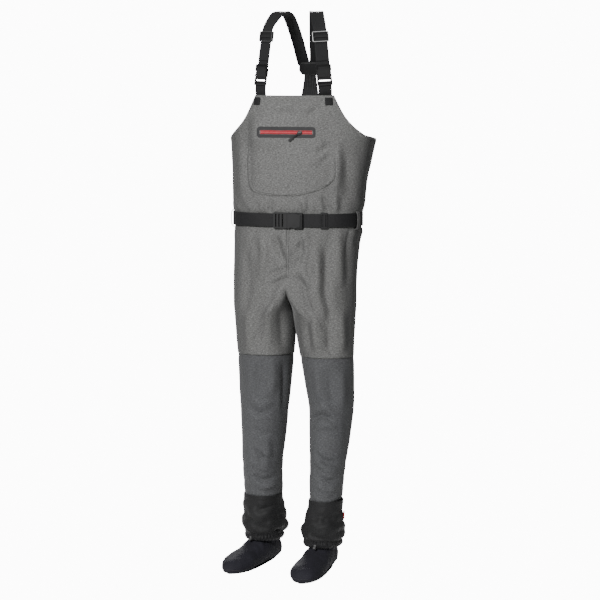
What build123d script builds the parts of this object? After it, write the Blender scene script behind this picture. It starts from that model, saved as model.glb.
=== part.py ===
from build123d import *
import os
from math import cos, sin, pi, radians, sqrt, copysign, tan
from typing import NamedTuple

# Chest waders: a bib and trousers of woven fabric with neoprene stocking feet,
# gravel guards, a waist belt with a side-release buckle, a chest pocket with a
# zip, and two webbing shoulder straps that meet at a yoke behind the back.
# Millimetres. +Z is up, the wearer faces -Y, the wearer's left is +X.
# The origin is on the floor, under the middle of the trunk.

os.makedirs("parts", exist_ok=True)

# ---------------------------------------------------------------- dimensions
SIDES = {"right": -1, "left": 1}    # wearer's side and its direction along X
UP = Vector(0, 0, 1)

FABRIC = 2.0            # laminated fabric wall, as a soft solid
NEOPRENE = 4.0          # stocking foot wall
GUARD_WALL = 1.6        # gravel guard wall
WEB_W = 40.0            # webbing width
WEB_T = 1.6             # webbing thickness
SEAM = 0.3              # gap between neighbouring sewn panels

BIB_TOP = 1410.0        # top edge of the bib
BACK_TOP = 1345.0       # top edge of the back panel
BIB_HALF = 119.0        # half width of the bib's top edge
ARM_LOW = 1283.0        # lowest point of the front armholes
ARM_OUT = 215.0         # where the armhole curves end, out from the bib's middle
TOP_X = 14.0            # sideways set of the bib over the hips
BELT_Z = 1046.0         # belt centre height
CROTCH_Z = 856.0        # where the trunk divides into legs
KNEE_SEAM = 640.0       # seam between thigh and knee panel
KNEE_Z = 480.0          # knee fold
KNEE_V = 16.0           # half angle of the wedge left open behind the knee
SHIN_END = 196.0        # lower edge of the shin panel
GUARD_END = 92.0        # lower edge of the gravel guard

# trunk sections: z, centre x, centre y, half width, half depth, exponent of the oval
TRUNK = [
    (1410, 14, 0, 160, 103, 2.5),
    (1350, 14, 0, 190, 105, 2.6),
    (1285, 14, 0, 209, 107, 2.8),
    (1170, 9, 0, 202, 106, 2.6),
    (1050, 3, 0, 188.5, 97.5, 2.5),
    (950, 0, 0, 186, 104, 2.4),
    (846, -1, 0, 184, 106, 2.4),
]
# leg sections: z, centre x, centre y, half width, half depth
LEG = {
    "right": [
        (800, -95, 0, 90, 95),
        (720, -96, 0, 87, 91),
        (640, -97, 0, 83, 87),
        (560, -98, 0, 78, 82),
        (480, -99, 0, 72, 76),
        (390, -102, 0, 66, 70),
        (300, -106, 0, 59, 64),
        (196, -104, 0, 55, 59),
    ],
    "left": [
        (800, 93, 0, 88, 95),
        (720, 93, 0, 85, 91),
        (640, 95, 0, 81, 85),
        (560, 101, -3, 74, 79),
        (480, 107, -8, 66, 73),
        (390, 105, -18, 60, 67),
        (300, 103, -34, 51, 60),
        (196, 101, -48, 47, 56),
    ],
}
# gravel guard sections: z, centre x, centre y, half width, half depth
GUARD = {
    "right": [
        (225, -105, 0, 62, 66.5),
        (185, -104, 0, 61.5, 66),
        (140, -102, 0, 64, 69),
        (112, -101, -2, 63, 69),
        (GUARD_END, -101, -4, 55, 66),
    ],
    "left": [
        (225, 102, -44, 52, 61),
        (185, 100, -49, 53, 61),
        (140, 98, -54, 60, 66),
        (112, 97, -58, 61, 68),
        (GUARD_END, 96, -61, 55, 66),
    ],
}
ANKLE = {"right": (-101.0, -2.0), "left": (96.0, -58.0)}
TOE_TURN = {"right": -23.0, "left": -6.0}   # turn of each foot about +Z, from -Y
# foot sections along the foot: distance behind the ankle, half width, height
FOOT = [
    (-200, 12, 22),
    (-193, 27, 33),
    (-172, 44, 46),
    (-132, 52, 58),
    (-82, 48, 64),
    (-34, 41, 84),
    (8, 37, 98),
    (42, 34, 88),
    (60, 24, 62),
    (66, 12, 40),
]
# ankle sections: z, half width, half depth
ANKLE_RINGS = [(52, 38, 50), (88, 37, 45), (124, 42, 47)]

# heights at which the lofts take a section
FRONT_HEIGHTS = (1046.3, 1110, 1170, 1230, 1285, 1350, BIB_TOP)
BACK_HEIGHTS = (1046.3, 1110, 1170, 1230, 1285, BACK_TOP)
TRUNK_LOW = (846, 900, 950, 1000, 1045.7)
TRUNK_LOW_INSIDE = (CROTCH_Z - 2, 900, 950, 1000, 1060)
HIP_HEIGHTS = (868, 820, 770, 720, 680, KNEE_SEAM + SEAM)
KNEE_HEIGHTS = (KNEE_SEAM, 600, 560, 520, KNEE_Z + SEAM)
SHIN_HEIGHTS = (KNEE_Z - SEAM, 440, 390, 345, 300, 250, SHIN_END)


# ---------------------------------------------------------------- helpers
def save(builder, name):
    """Label a finished piece and write its STEP file."""
    builder.part.label = name
    export_step(builder.part, f"parts/{name}.step")


def oval(centre_x, centre_y, half_x, half_y, power=2.0, count=20):
    """Points round a superellipse."""
    points = []
    for i in range(count):
        angle = 2 * pi * i / count
        c, s = cos(angle), sin(angle)
        points.append(
            (
                centre_x + half_x * copysign(abs(c) ** (2 / power), c),
                centre_y + half_y * copysign(abs(s) ** (2 / power), s),
            )
        )
    return points


def between(table, z):
    """Section of a table at height z, held constant beyond its ends."""
    rows = sorted(table)
    if z <= rows[0][0]:
        return rows[0][1:]
    if z >= rows[-1][0]:
        return rows[-1][1:]
    for low, high in zip(rows, rows[1:]):
        if low[0] <= z <= high[0]:
            t = (z - low[0]) / (high[0] - low[0])
            return tuple(p + (q - p) * t for p, q in zip(low[1:], high[1:]))


def slice_face(points, plane):
    """A closed smooth outline as a face on a plane."""
    with BuildSketch(plane) as outline:
        with BuildLine():
            Spline(*points, periodic=True)
        make_face()
    return outline.sketch


def strip_face(plane, width, thickness):
    """A cross-section of webbing or elastic as a face on a plane."""
    with BuildSketch(plane) as section:
        Rectangle(width, thickness)
    return section.sketch


def trunk_faces(heights, grow=0.0):
    faces = []
    for z in heights:
        x, y, half_x, half_y, power = between(TRUNK, z)
        points = oval(x, y, half_x + grow, half_y + grow, power)
        faces.append(slice_face(points, Plane.XY.offset(z)))
    return faces


def round_faces(table, heights, grow=0.0):
    """Elliptical sections of a leg or guard table."""
    faces = []
    for z in heights:
        x, y, half_x, half_y = between(table, z)
        faces.append(slice_face(oval(x, y, half_x + grow, half_y + grow), Plane.XY.offset(z)))
    return faces


def hip_outline(side, z, grow):
    """Leg outline near the crotch, between half of the trunk and a round leg."""
    s = SIDES[side]
    trunk_x, trunk_y, trunk_a, trunk_b, power = between(TRUNK, z)
    leg_x, leg_y, leg_a, leg_b = between(LEG[side], z)
    # share of the trunk's shape: none at z 700, at most 0.9 higher up
    share = min(1.0, max(0.0, (z - 700) / 160.0)) * 0.9
    # the round leg and the full trunk oval are sampled at the same angles
    leg = [
        (leg_x + (leg_a + grow) * cos(2 * pi * i / 20), leg_y + (leg_b + grow) * sin(2 * pi * i / 20))
        for i in range(20)
    ]
    trunk = oval(trunk_x, trunk_y, trunk_a + grow, trunk_b + grow, power)
    points = []
    for i in range(20):
        (x, y), (half_x, half_y) = leg[i], trunk[i]
        if cos(2 * pi * i / 20) * s <= 0:
            # inner side: nearly flat, just off the middle of the trunk
            half_x = trunk_x + s * (2.0 - grow)
            half_y = trunk_y + (half_y - trunk_y) * 0.98
        points.append((x + (half_x - x) * share, y + (half_y - y) * share))
    return points


def hip_faces(side, inset, tuck):
    """Hip sections, inset all along and tucked in further at the top."""
    faces = []
    for z in HIP_HEIGHTS:
        grow = -inset - (tuck if z > 860 else 0.0)
        faces.append(slice_face(hip_outline(side, z, grow), Plane.XY.offset(z)))
    return faces


# ---------------------------------------------------------------- bib
# armhole edges: distance out from the bib's middle, z
FRONT_ARMHOLE = [
    (BIB_HALF, BIB_TOP + 1),
    (BIB_HALF + 18, BIB_TOP - 52),
    (BIB_HALF + 48, BIB_TOP - 98),
    (ARM_OUT, ARM_LOW),
]
BACK_SCOOP = [
    (62, BACK_TOP + 1),
    (110, BACK_TOP - 42),
    (160, ARM_LOW - 4),
    (ARM_OUT, ARM_LOW - 10),
]
CUT_OUT = 260.0         # outer limit of the armhole cuts, beyond the trunk


def bib_panel(name, heights, facing, armhole):
    """Half of the bib; facing is -1 for the front and 1 for the back."""
    with BuildPart() as panel:
        loft(trunk_faces(heights))
        loft(trunk_faces(heights, -FABRIC), mode=Mode.SUBTRACT)
        with BuildSketch(Plane.XY.offset(1000)):
            with Locations((0, facing * (200 + SEAM / 2))):
                Rectangle(600, 400)
        extrude(amount=500, mode=Mode.INTERSECT)
        # armholes, cut from the top corners down to the sides
        for s in SIDES.values():
            edge = [(TOP_X + s * out, z) for out, z in armhole]
            outer_x = TOP_X + s * CUT_OUT
            with BuildSketch(Plane.XZ.offset(10 * facing)):
                with BuildLine():
                    Spline(*edge)
                    Line(edge[-1], (outer_x, edge[-1][1]))
                    Line((outer_x, edge[-1][1]), (outer_x, edge[0][1]))
                    Line((outer_x, edge[0][1]), edge[0])
                make_face()
            extrude(amount=-200 * facing, mode=Mode.SUBTRACT)
    save(panel, name)


bib_panel("bib_front_panel", FRONT_HEIGHTS, -1, FRONT_ARMHOLE)
bib_panel("bib_back_panel", BACK_HEIGHTS, 1, BACK_SCOOP)


# ---------------------------------------------------------------- trousers
def leg_panel(side, face, facing):
    """Trunk quarter and half a thigh; facing is -1 for the front, 1 for the back."""
    s = SIDES[side]
    with BuildPart() as panel:
        # trunk quarter
        loft(trunk_faces(TRUNK_LOW))
        with BuildSketch(Plane.XY.offset(CROTCH_Z)):
            with Locations((s * (150 + SEAM / 2), 0)):
                Rectangle(300, 400)
        extrude(amount=250, mode=Mode.INTERSECT)
        # leg tube joined under it, its top tucked a little inside the trunk
        loft(hip_faces(side, inset=0.0, tuck=0.7))
        loft(hip_faces(side, inset=FABRIC, tuck=1.2), mode=Mode.SUBTRACT)
        loft(trunk_faces(TRUNK_LOW_INSIDE, -FABRIC), mode=Mode.SUBTRACT)
        # front or back half
        with BuildSketch(Plane.XY.offset(600)):
            with Locations((0, facing * (200 + SEAM / 2))):
                Rectangle(600, 400)
        extrude(amount=500, mode=Mode.INTERSECT)
        # nothing of this leg crosses the middle
        with BuildSketch(Plane.XY.offset(600)):
            with Locations((s * (-150 + SEAM / 2), 0)):
                Rectangle(300, 400)
        extrude(amount=500, mode=Mode.SUBTRACT)
    save(panel, f"{side}_leg_{face}_panel")


def lower_leg_panel(side, name, heights, rise):
    """Knee or shin tube; behind the knee a wedge opens up (rise 1) or down (-1)."""
    knee_x, knee_y, _, _ = between(LEG[side], KNEE_Z)
    reach = 120     # from the knee's middle to beyond the fabric
    with BuildPart() as panel:
        loft(round_faces(LEG[side], heights))
        loft(round_faces(LEG[side], heights, -FABRIC), mode=Mode.SUBTRACT)
        with BuildSketch(Plane.YZ.offset(knee_x - reach)):
            Polygon(
                (knee_y, KNEE_Z),
                (knee_y + reach, KNEE_Z),
                (knee_y + reach, KNEE_Z + rise * reach * tan(radians(KNEE_V))),
                align=None,
            )
        extrude(amount=2 * reach, mode=Mode.SUBTRACT)
    save(panel, f"{side}_{name}_panel")


for side in SIDES:
    leg_panel(side, "front", -1)
    leg_panel(side, "back", 1)
    lower_leg_panel(side, "knee", KNEE_HEIGHTS, 1)
    lower_leg_panel(side, "shin", SHIN_HEIGHTS, -1)


# ---------------------------------------------------------------- gravel guards
def foot_frame(side):
    """Plane on the floor under the ankle; its -Y runs to the toe."""
    turn = radians(TOE_TURN[side])
    return Plane(origin=(*ANKLE[side], 0), x_dir=(cos(turn), sin(turn), 0), z_dir=UP)


def gravel_guard(side):
    """Loose cuff over the foot of the leg."""
    heights = [row[0] for row in GUARD[side]]
    with BuildPart() as guard:
        loft(round_faces(GUARD[side], heights))
        loft(round_faces(GUARD[side], heights, -GUARD_WALL), mode=Mode.SUBTRACT)
    save(guard, f"{side}_gravel_guard")


def guard_elastic(side):
    """Elastic hem of the guard."""
    x, y, half_x, half_y = GUARD[side][-1][1:]
    with BuildPart() as elastic:
        with BuildSketch(Plane.XY.offset(GUARD_END - 10)):
            with Locations((x, y)):
                Ellipse(half_x + 0.5, half_y + 0.5)
                Ellipse(half_x - 3.0, half_y - 3.0, mode=Mode.SUBTRACT)
        extrude(amount=9.6)
        fillet(elastic.part.edges(), radius=1.2)
    save(elastic, f"{side}_guard_elastic")


def lace_hook(side):
    """Hook on the front of the hem, pointing along the foot."""
    foot = foot_frame(side)
    toe = -foot.y_dir
    x, y, half_x, half_y = GUARD[side][-1][1:]
    # distance from the hem's middle to its outside, towards the toe
    hem = 1 / sqrt((toe.X / (half_x + 0.5)) ** 2 + (toe.Y / (half_y + 0.5)) ** 2)
    origin = Vector(x, y, GUARD_END - 6) + toe * (hem + 0.8)
    with BuildPart() as hook:
        with BuildSketch(Plane(origin=origin, x_dir=toe, z_dir=-foot.x_dir).offset(-3.5)):
            with BuildLine():
                Polyline((0.8, 5), (0.8, -5.4), (4.6, -7.4), (8.0, -5.4), (8.0, -1.0))
            trace(line_width=1.5)
        extrude(amount=7)
    save(hook, f"{side}_lace_hook")


def left_guard_label():
    """Plain tab that lies flat over the outer seam of the left guard."""
    with BuildPart() as label:
        with BuildSketch(Plane.XY.offset(158)):
            with Locations((157.4, -53.5)):
                Rectangle(2.4, 9.5)
        extrude(amount=24)
    save(label, "left_guard_label")


for side in SIDES:
    gravel_guard(side)
    guard_elastic(side)
    lace_hook(side)
left_guard_label()


# ---------------------------------------------------------------- stocking feet
def shaft_faces(side, inset):
    leg_x, leg_y, half_x, half_y = between(LEG[side], SHIN_END)
    ankle_x, ankle_y = ANKLE[side]
    # z, centre x, centre y, half width, half depth
    rings = [
        (SHIN_END - SEAM, leg_x, leg_y, half_x - 1, half_y - 1),
        (165, (leg_x + ankle_x) / 2, (leg_y + ankle_y) / 2, 48, 53),
        (136, ankle_x, ankle_y, 46, 51),
    ]
    return [
        slice_face(oval(x, y, a - inset, b - inset), Plane.XY.offset(z))
        for z, x, y, a, b in rings
    ]


def sock_shaft(side):
    """Shaft under the end of the shin panel, inside the guard."""
    with BuildPart() as shaft:
        loft(shaft_faces(side, 0))
        loft(shaft_faces(side, NEOPRENE), mode=Mode.SUBTRACT)
    save(shaft, f"{side}_sock_shaft")


def foot_faces(foot, inset):
    """Upright sections from toe to heel."""
    faces = []
    for back, half_width, height in FOOT:
        points = oval(
            0, height * 0.46, max(half_width - inset, 4), max(height * 0.54 - inset, 6), 2.2, 16
        )
        # the inside stops short of the toe and the heel
        if back < -150:
            back += inset
        elif back > 30:
            back -= inset
        origin = foot.origin + foot.y_dir * back
        faces.append(slice_face(points, Plane(origin=origin, x_dir=foot.x_dir, z_dir=-foot.y_dir)))
    return faces


def ankle_faces(foot, inset):
    return [
        slice_face(oval(0, 0, half_width - inset, half_depth - inset), foot.offset(z))
        for z, half_width, half_depth in ANKLE_RINGS
    ]


def sole_points(share, heel, toe):
    """Sole outline at a share of the foot's width, with its heel and toe points."""
    rows = FOOT[1:-1]
    return [
        *[(half_width * share, back) for back, half_width, _ in rows],
        (0, heel),
        *[(-half_width * share, back) for back, half_width, _ in reversed(rows)],
        (0, toe),
    ]


def sock_foot(side):
    """Hollow neoprene foot, cut flat at the floor and closed by an inner sole."""
    foot = foot_frame(side)
    floor = 3.0     # underside of the foot, above the outer sole
    with BuildPart() as sock:
        loft(foot_faces(foot, 0))
        loft(ankle_faces(foot, 0))
        loft(foot_faces(foot, NEOPRENE), mode=Mode.SUBTRACT)
        loft(ankle_faces(foot, NEOPRENE), mode=Mode.SUBTRACT)
        with BuildSketch(Plane.XY.offset(-60)):
            with Locations(ANKLE[side]):
                Rectangle(700, 700)
        extrude(amount=60 + floor, mode=Mode.SUBTRACT)
        with BuildSketch(foot.offset(floor)):
            with BuildLine():
                Spline(*sole_points(0.80, heel=60, toe=-194), periodic=True)
            make_face()
        extrude(amount=3.4)
    save(sock, f"{side}_sock_foot")


def sock_sole(side):
    with BuildPart() as sole:
        with BuildSketch(foot_frame(side)):
            with BuildLine():
                Spline(*sole_points(0.88, heel=63, toe=-197), periodic=True)
            make_face()
        extrude(amount=2.8)
    save(sole, f"{side}_sock_sole")


for side in SIDES:
    sock_shaft(side)
    sock_foot(side)
    sock_sole(side)

# ---------------------------------------------------------------- chest pocket
ZIP_X, ZIP_Z = -3.0, 1303.0     # middle of the zip
ZIP_Y = -109.4                  # back of the zip frame
ZIP_LEN = 177.0
ZIP_TALL = 32.0
ZIP_END = 7.0                   # frame width beyond each end of the opening
SLIDER_X = 42.0                 # slider, from the middle of the zip
# lies on the back of the frame, Z away from the wearer
ZIP = Plane(origin=(ZIP_X, ZIP_Y, ZIP_Z), x_dir=(1, 0, 0), z_dir=(0, -1, 0))

# pocket outline, x and z: straight sides and top, then the curved lower edge
POCKET_STRAIGHT = [(-124, 1200), (-122, 1322), (132, 1322), (140, 1230)]
POCKET_CURVE = [
    (140, 1230), (137, 1170), (112, 1138), (30, 1118), (-60, 1124), (-112, 1146), (-124, 1200),
]


def chest_pocket_panel():
    with BuildPart() as panel:
        loft(trunk_faces(FRONT_HEIGHTS, 2.2))
        loft(trunk_faces(FRONT_HEIGHTS, 0.7), mode=Mode.SUBTRACT)
        with BuildSketch(Plane.XZ.offset(20)):
            with BuildLine():
                Polyline(*POCKET_STRAIGHT)
                Spline(*POCKET_CURVE)
            make_face()
        extrude(amount=120, mode=Mode.INTERSECT)
        # opening behind the zip
        with BuildSketch(Plane.XZ.offset(20)):
            with Locations((ZIP_X, ZIP_Z)):
                Rectangle(ZIP_LEN - 2 * ZIP_END, 10)
        extrude(amount=120, mode=Mode.SUBTRACT)
    save(panel, "chest_pocket_panel")


def zip_frame():
    with BuildPart() as frame:
        with BuildSketch(ZIP):
            RectangleRounded(ZIP_LEN, ZIP_TALL, 9)
            RectangleRounded(ZIP_LEN - 2 * ZIP_END, 12.4, 4, mode=Mode.SUBTRACT)
        extrude(amount=1.8)
        # edges of the front face
        chamfer(frame.part.faces().sort_by(Axis.Y)[0].edges(), length=0.5)
    save(frame, "zip_frame")


def zip_tape():
    """Two strips, above and below the chain."""
    with BuildPart() as tape:
        with BuildSketch(ZIP.offset(0.1)):
            with Locations((0, 4.0), (0, -4.0)):
                Rectangle(ZIP_LEN - 20, 3.4)
        extrude(amount=0.9)
    save(tape, "zip_tape")


def zip_chain():
    with BuildPart() as chain:
        with BuildSketch(ZIP.offset(0.1)):
            Rectangle(ZIP_LEN - 22, 2.2)
        extrude(amount=1.0)
        # teeth along the chain
        with BuildSketch(ZIP.offset(0.6)):
            with GridLocations(2.6, 0, 58, 1):
                Rectangle(1.4, 3.6)
        extrude(amount=1.2)
    save(chain, "zip_chain")


def zip_slider():
    with BuildPart() as slider:
        with BuildSketch(ZIP.offset(2.2)):
            with Locations((SLIDER_X, 0)):
                RectangleRounded(13, 8.4, 2.5)
        extrude(amount=2.0)
        fillet(slider.part.faces().sort_by(Axis.Y)[0].edges(), radius=0.6)
        # bail that holds the pull: two posts and a bridge
        with BuildSketch(ZIP.offset(4.0)):
            with Locations((SLIDER_X - 3.4, 0), (SLIDER_X + 3.4, 0)):
                Rectangle(1.4, 2.4)
        extrude(amount=3.4)
        with BuildSketch(ZIP.offset(6.8)):
            with Locations((SLIDER_X, 0)):
                Rectangle(8.2, 2.4)
        extrude(amount=1.2)
    save(slider, "zip_slider")


def zip_pull():
    """Cord tab that hangs from the bail, down and towards the wearer's right."""
    plane = Plane(
        origin=(ZIP_X + SLIDER_X, ZIP_Y - 5.5, ZIP_Z), x_dir=(-0.80, 0, -0.60), z_dir=(0, -1, 0)
    )
    with BuildPart() as pull:
        # loop round the bail, and the cord
        with BuildSketch(plane.offset(-0.8)):
            with Locations((3.1, 0)):
                RectangleRounded(7.8, 9.6, 1.6)
            with Locations((3.05, 0)):
                RectangleRounded(4.7, 6.8, 0.6, mode=Mode.SUBTRACT)
            with Locations((24, 0)):
                RectangleRounded(36, 4.6, 2.0)
        extrude(amount=1.6)
        # finger grip at the end of the cord
        with BuildSketch(plane.offset(-1.3)):
            with Locations((33, 0)):
                RectangleRounded(16, 6.4, 2.4)
        extrude(amount=2.6)
    save(pull, "zip_pull")


chest_pocket_panel()
zip_frame()
zip_tape()
zip_chain()
zip_slider()
zip_pull()

# ---------------------------------------------------------------- belt
WAIST_X, WAIST_Y, WAIST_A, WAIST_B, WAIST_POWER = between(TRUNK, BELT_Z)
# the belt stands a little off the gathered waist
BELT_A = WAIST_A + 4.0          # half width
BELT_B = WAIST_B + 3.5          # half depth
MAIN_OFF = 1.2                  # inside of the main webbing, off the belt oval
RIGHT_OFF = 3.4                 # inside of the outer webbing on the right
KEEPER_X = 108.0


def belt_oval(grow):
    return oval(WAIST_X, WAIST_Y, BELT_A + grow, BELT_B + grow, WAIST_POWER, 36)


def belt_webbing(name, stand_off, x_range, y_range, mode):
    """Ring of webbing, with a rectangle taken from it or only that part kept."""
    with BuildPart() as webbing:
        with BuildSketch(Plane.XY.offset(BELT_Z - WEB_W / 2)):
            with BuildLine():
                Spline(*belt_oval(stand_off + WEB_T), periodic=True)
            make_face()
            with BuildLine():
                Spline(*belt_oval(stand_off), periodic=True)
            make_face(mode=Mode.SUBTRACT)
            with Locations((sum(x_range) / 2, sum(y_range) / 2)):
                Rectangle(x_range[1] - x_range[0], y_range[1] - y_range[0], mode=mode)
        extrude(amount=WEB_W)
    save(webbing, name)


def belt_loop(side):
    """Loop near the side seam, over the belt."""
    with BuildPart() as loop:
        with BuildSketch(Plane.XY.offset(BELT_Z - 33)):
            with BuildLine():
                Spline(*belt_oval(9.0), periodic=True)
            make_face()
            with BuildLine():
                Spline(*belt_oval(0.9), periodic=True)
            make_face(mode=Mode.SUBTRACT)
            with Locations((SIDES[side] * 190, -34)):
                Rectangle(60, 13, mode=Mode.INTERSECT)
        extrude(amount=66)
        # passage for the webbing
        with BuildSketch(Plane.XY.offset(BELT_Z - 24)):
            with BuildLine():
                Spline(*belt_oval(6.8), periodic=True)
            make_face()
        extrude(amount=48, mode=Mode.SUBTRACT)
    save(loop, f"{side}_belt_loop")


def webbing_point(x):
    """Point on the front of the belt, in the middle of the main webbing."""
    grow = MAIN_OFF + WEB_T / 2
    share = (abs(x - WAIST_X) / (BELT_A + grow)) ** WAIST_POWER
    return Vector(x, -(BELT_B + grow) * (1 - share) ** (1 / WAIST_POWER), BELT_Z)


def belt_keeper():
    """Keeper round the main webbing, on the wearer's left of the buckle."""
    origin = webbing_point(KEEPER_X)
    along = (webbing_point(KEEPER_X + 4) - origin).normalized()
    with BuildPart() as keeper:
        with BuildSketch(Plane(origin=origin, x_dir=UP, z_dir=along).offset(-11)):
            RectangleRounded(WEB_W + 8, 6.6, 2.2)
            RectangleRounded(WEB_W + 3, 4.0, 0.8, mode=Mode.SUBTRACT)
        extrude(amount=20)
        # slots either side of the middle bar, on the outer face
        with BuildSketch(Plane(origin=origin, x_dir=along, z_dir=along.cross(UP))):
            with Locations((-5.4, 0), (5.4, 0)):
                RectangleRounded(6.0, WEB_W - 4, 1.5)
        extrude(amount=8, mode=Mode.SUBTRACT)
    save(keeper, "belt_keeper")


# the main webbing leaves the front to the buckle and the outer piece on the right
belt_webbing("belt_webbing_main", MAIN_OFF, (-168, 32), (-200, 0), Mode.SUBTRACT)
belt_webbing("belt_webbing_right", RIGHT_OFF, (-172, -18), (-295, -5), Mode.INTERSECT)
for side in SIDES:
    belt_loop(side)
belt_keeper()


# ---------------------------------------------------------------- side-release buckles
# Each buckle lies in a plane whose Y runs from the plug to the socket and whose
# Z points away from the wearer.
class Buckle(NamedTuple):
    half_width: float
    tail: float             # Y of the plug's tail
    mouth: float            # Y where plug and socket meet
    socket_len: float
    arm_len: float          # reach of the latch arms past the mouth
    slots: tuple            # webbing slots, from the tail
    slot_len: float         # size of a slot along Y


BELT_BUCKLE = Buckle(23.5, 0.0, 42.0, 46.0, 24.0, (8, 18, 28), 4.6)
STRAP_BUCKLE = Buckle(22.0, 40.0, 64.0, 37.0, 20.0, (6.5, 15), 4.0)

BODY_Z = 3.3                # back of the plug and of the socket's end block
ARM_Z, ARM_T = 3.7, 3.2     # back and thickness of the latch arms and middle guide


def buckle_plug(name, plane, size):
    width, mouth = 2 * size.half_width, size.mouth
    with BuildPart() as plug:
        with BuildSketch(plane.offset(BODY_Z)):
            with Locations((0, (size.tail + mouth) / 2)):
                RectangleRounded(width, mouth - size.tail, 3)
            # ladder slots for the webbing
            with Locations(*[(0, size.tail + slot) for slot in size.slots]):
                RectangleRounded(width - 9, size.slot_len, 1.5, mode=Mode.SUBTRACT)
        extrude(amount=4.0)
        # shoulder that meets the socket
        with BuildSketch(plane.offset(BODY_Z)):
            with Locations((0, mouth - 3)):
                Rectangle(width - 2, 5)
        extrude(amount=5.0)
        # middle guide
        with BuildSketch(plane.offset(ARM_Z)):
            with Locations((0, mouth + size.arm_len / 2 - 3)):
                RectangleRounded(5, size.arm_len, 2)
        extrude(amount=ARM_T)
    save(plug, f"{name}_buckle_plug")


def latch_arm(name, plane, size, letter, k):
    """One latch arm; k is its direction along the plane's X."""
    mouth = size.mouth
    with BuildPart() as arm:
        with BuildSketch(plane.offset(ARM_Z)):
            with BuildLine():
                Polyline(
                    (k * 10.5, mouth + 0.7),
                    (k * 14.5, mouth + 0.7),
                    (k * 14.5, mouth + 8),
                    (k * (size.half_width - 1.0), mouth + 10),
                    (k * (size.half_width - 0.6), mouth + 14),
                    (k * 14.5, mouth + size.arm_len),
                    (k * 10.5, mouth + size.arm_len),
                    close=True,
                )
            make_face()
        extrude(amount=ARM_T)
    save(arm, f"{name}_latch_arm_{letter}")


def buckle_socket(name, plane, size):
    width, mouth, length = 2 * size.half_width, size.mouth, size.socket_len
    end = mouth + length
    recess_x = size.half_width + 3.5
    with BuildPart() as socket:
        # rear and front plates, open at both edges for the latch arms
        with BuildSketch(plane.offset(1.4)):
            with Locations((0, mouth + 0.4 + (length - 11) / 2)):
                RectangleRounded(width, length - 11, 2)
        extrude(amount=1.5)
        with BuildSketch(plane.offset(7.6)):
            with Locations((0, mouth + 0.4 + length / 2)):
                RectangleRounded(width, length, 3.5)
            # finger recesses beside the latch heads
            with Locations((recess_x, mouth + 13), (-recess_x, mouth + 13)):
                Circle(7.5, mode=Mode.SUBTRACT)
        extrude(amount=1.9)
        # inner guides between the arms and the middle guide
        with BuildSketch(plane.offset(2.0)):
            with Locations((5.6, mouth + 4), (-5.6, mouth + 4)):
                Rectangle(2.4, 7)
        extrude(amount=6.4)
        # end block
        with BuildSketch(plane.offset(BODY_Z)):
            with Locations((0, end - 4.6)):
                RectangleRounded(width, 10, 3)
        extrude(amount=6.2)
        # webbing bar
        with BuildSketch(plane.offset(2.0)):
            with Locations((0, end - 12.3)):
                Rectangle(width - 6, 4.4)
        extrude(amount=6.0)
        # raised rib across the front
        with BuildSketch(plane.offset(9.3)):
            with Locations((0, end - 8)):
                RectangleRounded(width - 12, 3, 1.2)
        extrude(amount=0.9)
    save(socket, f"{name}_buckle_socket")


def buckle(name, plane, size):
    buckle_plug(name, plane, size)
    latch_arm(name, plane, size, "a", 1)
    latch_arm(name, plane, size, "b", -1)
    buckle_socket(name, plane, size)


# the belt's mouth is at x = 0, its plug on the wearer's right
BUCKLE_Y = -(BELT_B + RIGHT_OFF + WEB_T) + 2.6
buckle(
    "belt",
    Plane(origin=(-BELT_BUCKLE.mouth, BUCKLE_Y, BELT_Z), x_dir=(0, 0, -1), z_dir=(0, -1, 0)),
    BELT_BUCKLE,
)

# ---------------------------------------------------------------- shoulder straps
SHOULDER_X = 8.0            # middle between the straps at the shoulders
STRAP_MID = 2.2             # middle of the webbing's thickness, above the strap plane
RUN_START, RUN_END = 91.0, 203.0    # straight run of the front strap, along the plane
ADJUSTER_Y = 184.0          # length adjuster, along the plane

# Stations over the shoulder: point, direction along, direction across. X of the
# point is outwards from SHOULDER_X; the values suit the left strap.
SHOULDER_FRONT = [
    ((66, -42.0, 1634.0), (-0.38, 0.50, 0.78), (0.92, 0.30, 0.2)),
    ((57, -18.0, 1650.5), (-0.34, 0.90, 0.30), (0.94, 0.24, 0.25)),
    ((50.6, -0.9, 1654.0), (-0.30, 0.95, 0.0), (0.95, 0.22, 0.25)),
]
SHOULDER_BACK = [
    ((50.0, 0.9, 1654.0), (-0.30, 0.95, 0.0), (0.95, 0.22, 0.25)),
    ((44, 22.0, 1648.0), (-0.26, 0.85, -0.45), (0.95, 0.2, 0.2)),
    ((36, 52.0, 1616.0), (-0.22, 0.62, -0.75), (0.96, 0.15, 0.15)),
    ((28, 84.0, 1566.0), (-0.18, 0.50, -0.85), (0.97, 0.1, 0.12)),
    ((21.6, 114.0, 1515.0), (-0.16, 0.45, -0.88), (0.98, 0.08, 0.1)),
]


def strap_frame(s):
    """Plane of a front strap: Y up along it, Z away from the wearer."""
    foot = Vector(TOP_X - 2 + s * 100, -92.5, 1398.0)
    head = Vector(SHOULDER_X + s * 78, -66.0, 1600.0)
    along = (head - foot).normalized()
    outward = Vector(0.42 * s, -0.907, 0)
    outward = (outward - along * outward.dot(along)).normalized()
    return Plane(origin=foot, x_dir=along.cross(outward), z_dir=outward)


def strap_point(plane, y):
    """Middle of the webbing, y along the strap."""
    return plane.origin + plane.y_dir * y + plane.z_dir * STRAP_MID


def shoulder_faces(stations, s):
    """Webbing sections of a station table, mirrored for the right strap."""
    faces = []
    for (out, y, z), along, across in stations:
        along = Vector(s * along[0], along[1], along[2]).normalized()
        across = Vector(across[0], s * across[1], s * across[2])
        across = (across - along * across.dot(along)).normalized()
        plane = Plane(origin=(SHOULDER_X + s * out, y, z), x_dir=across, z_dir=along)
        faces.append(strip_face(plane, WEB_W, WEB_T))
    return faces


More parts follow.
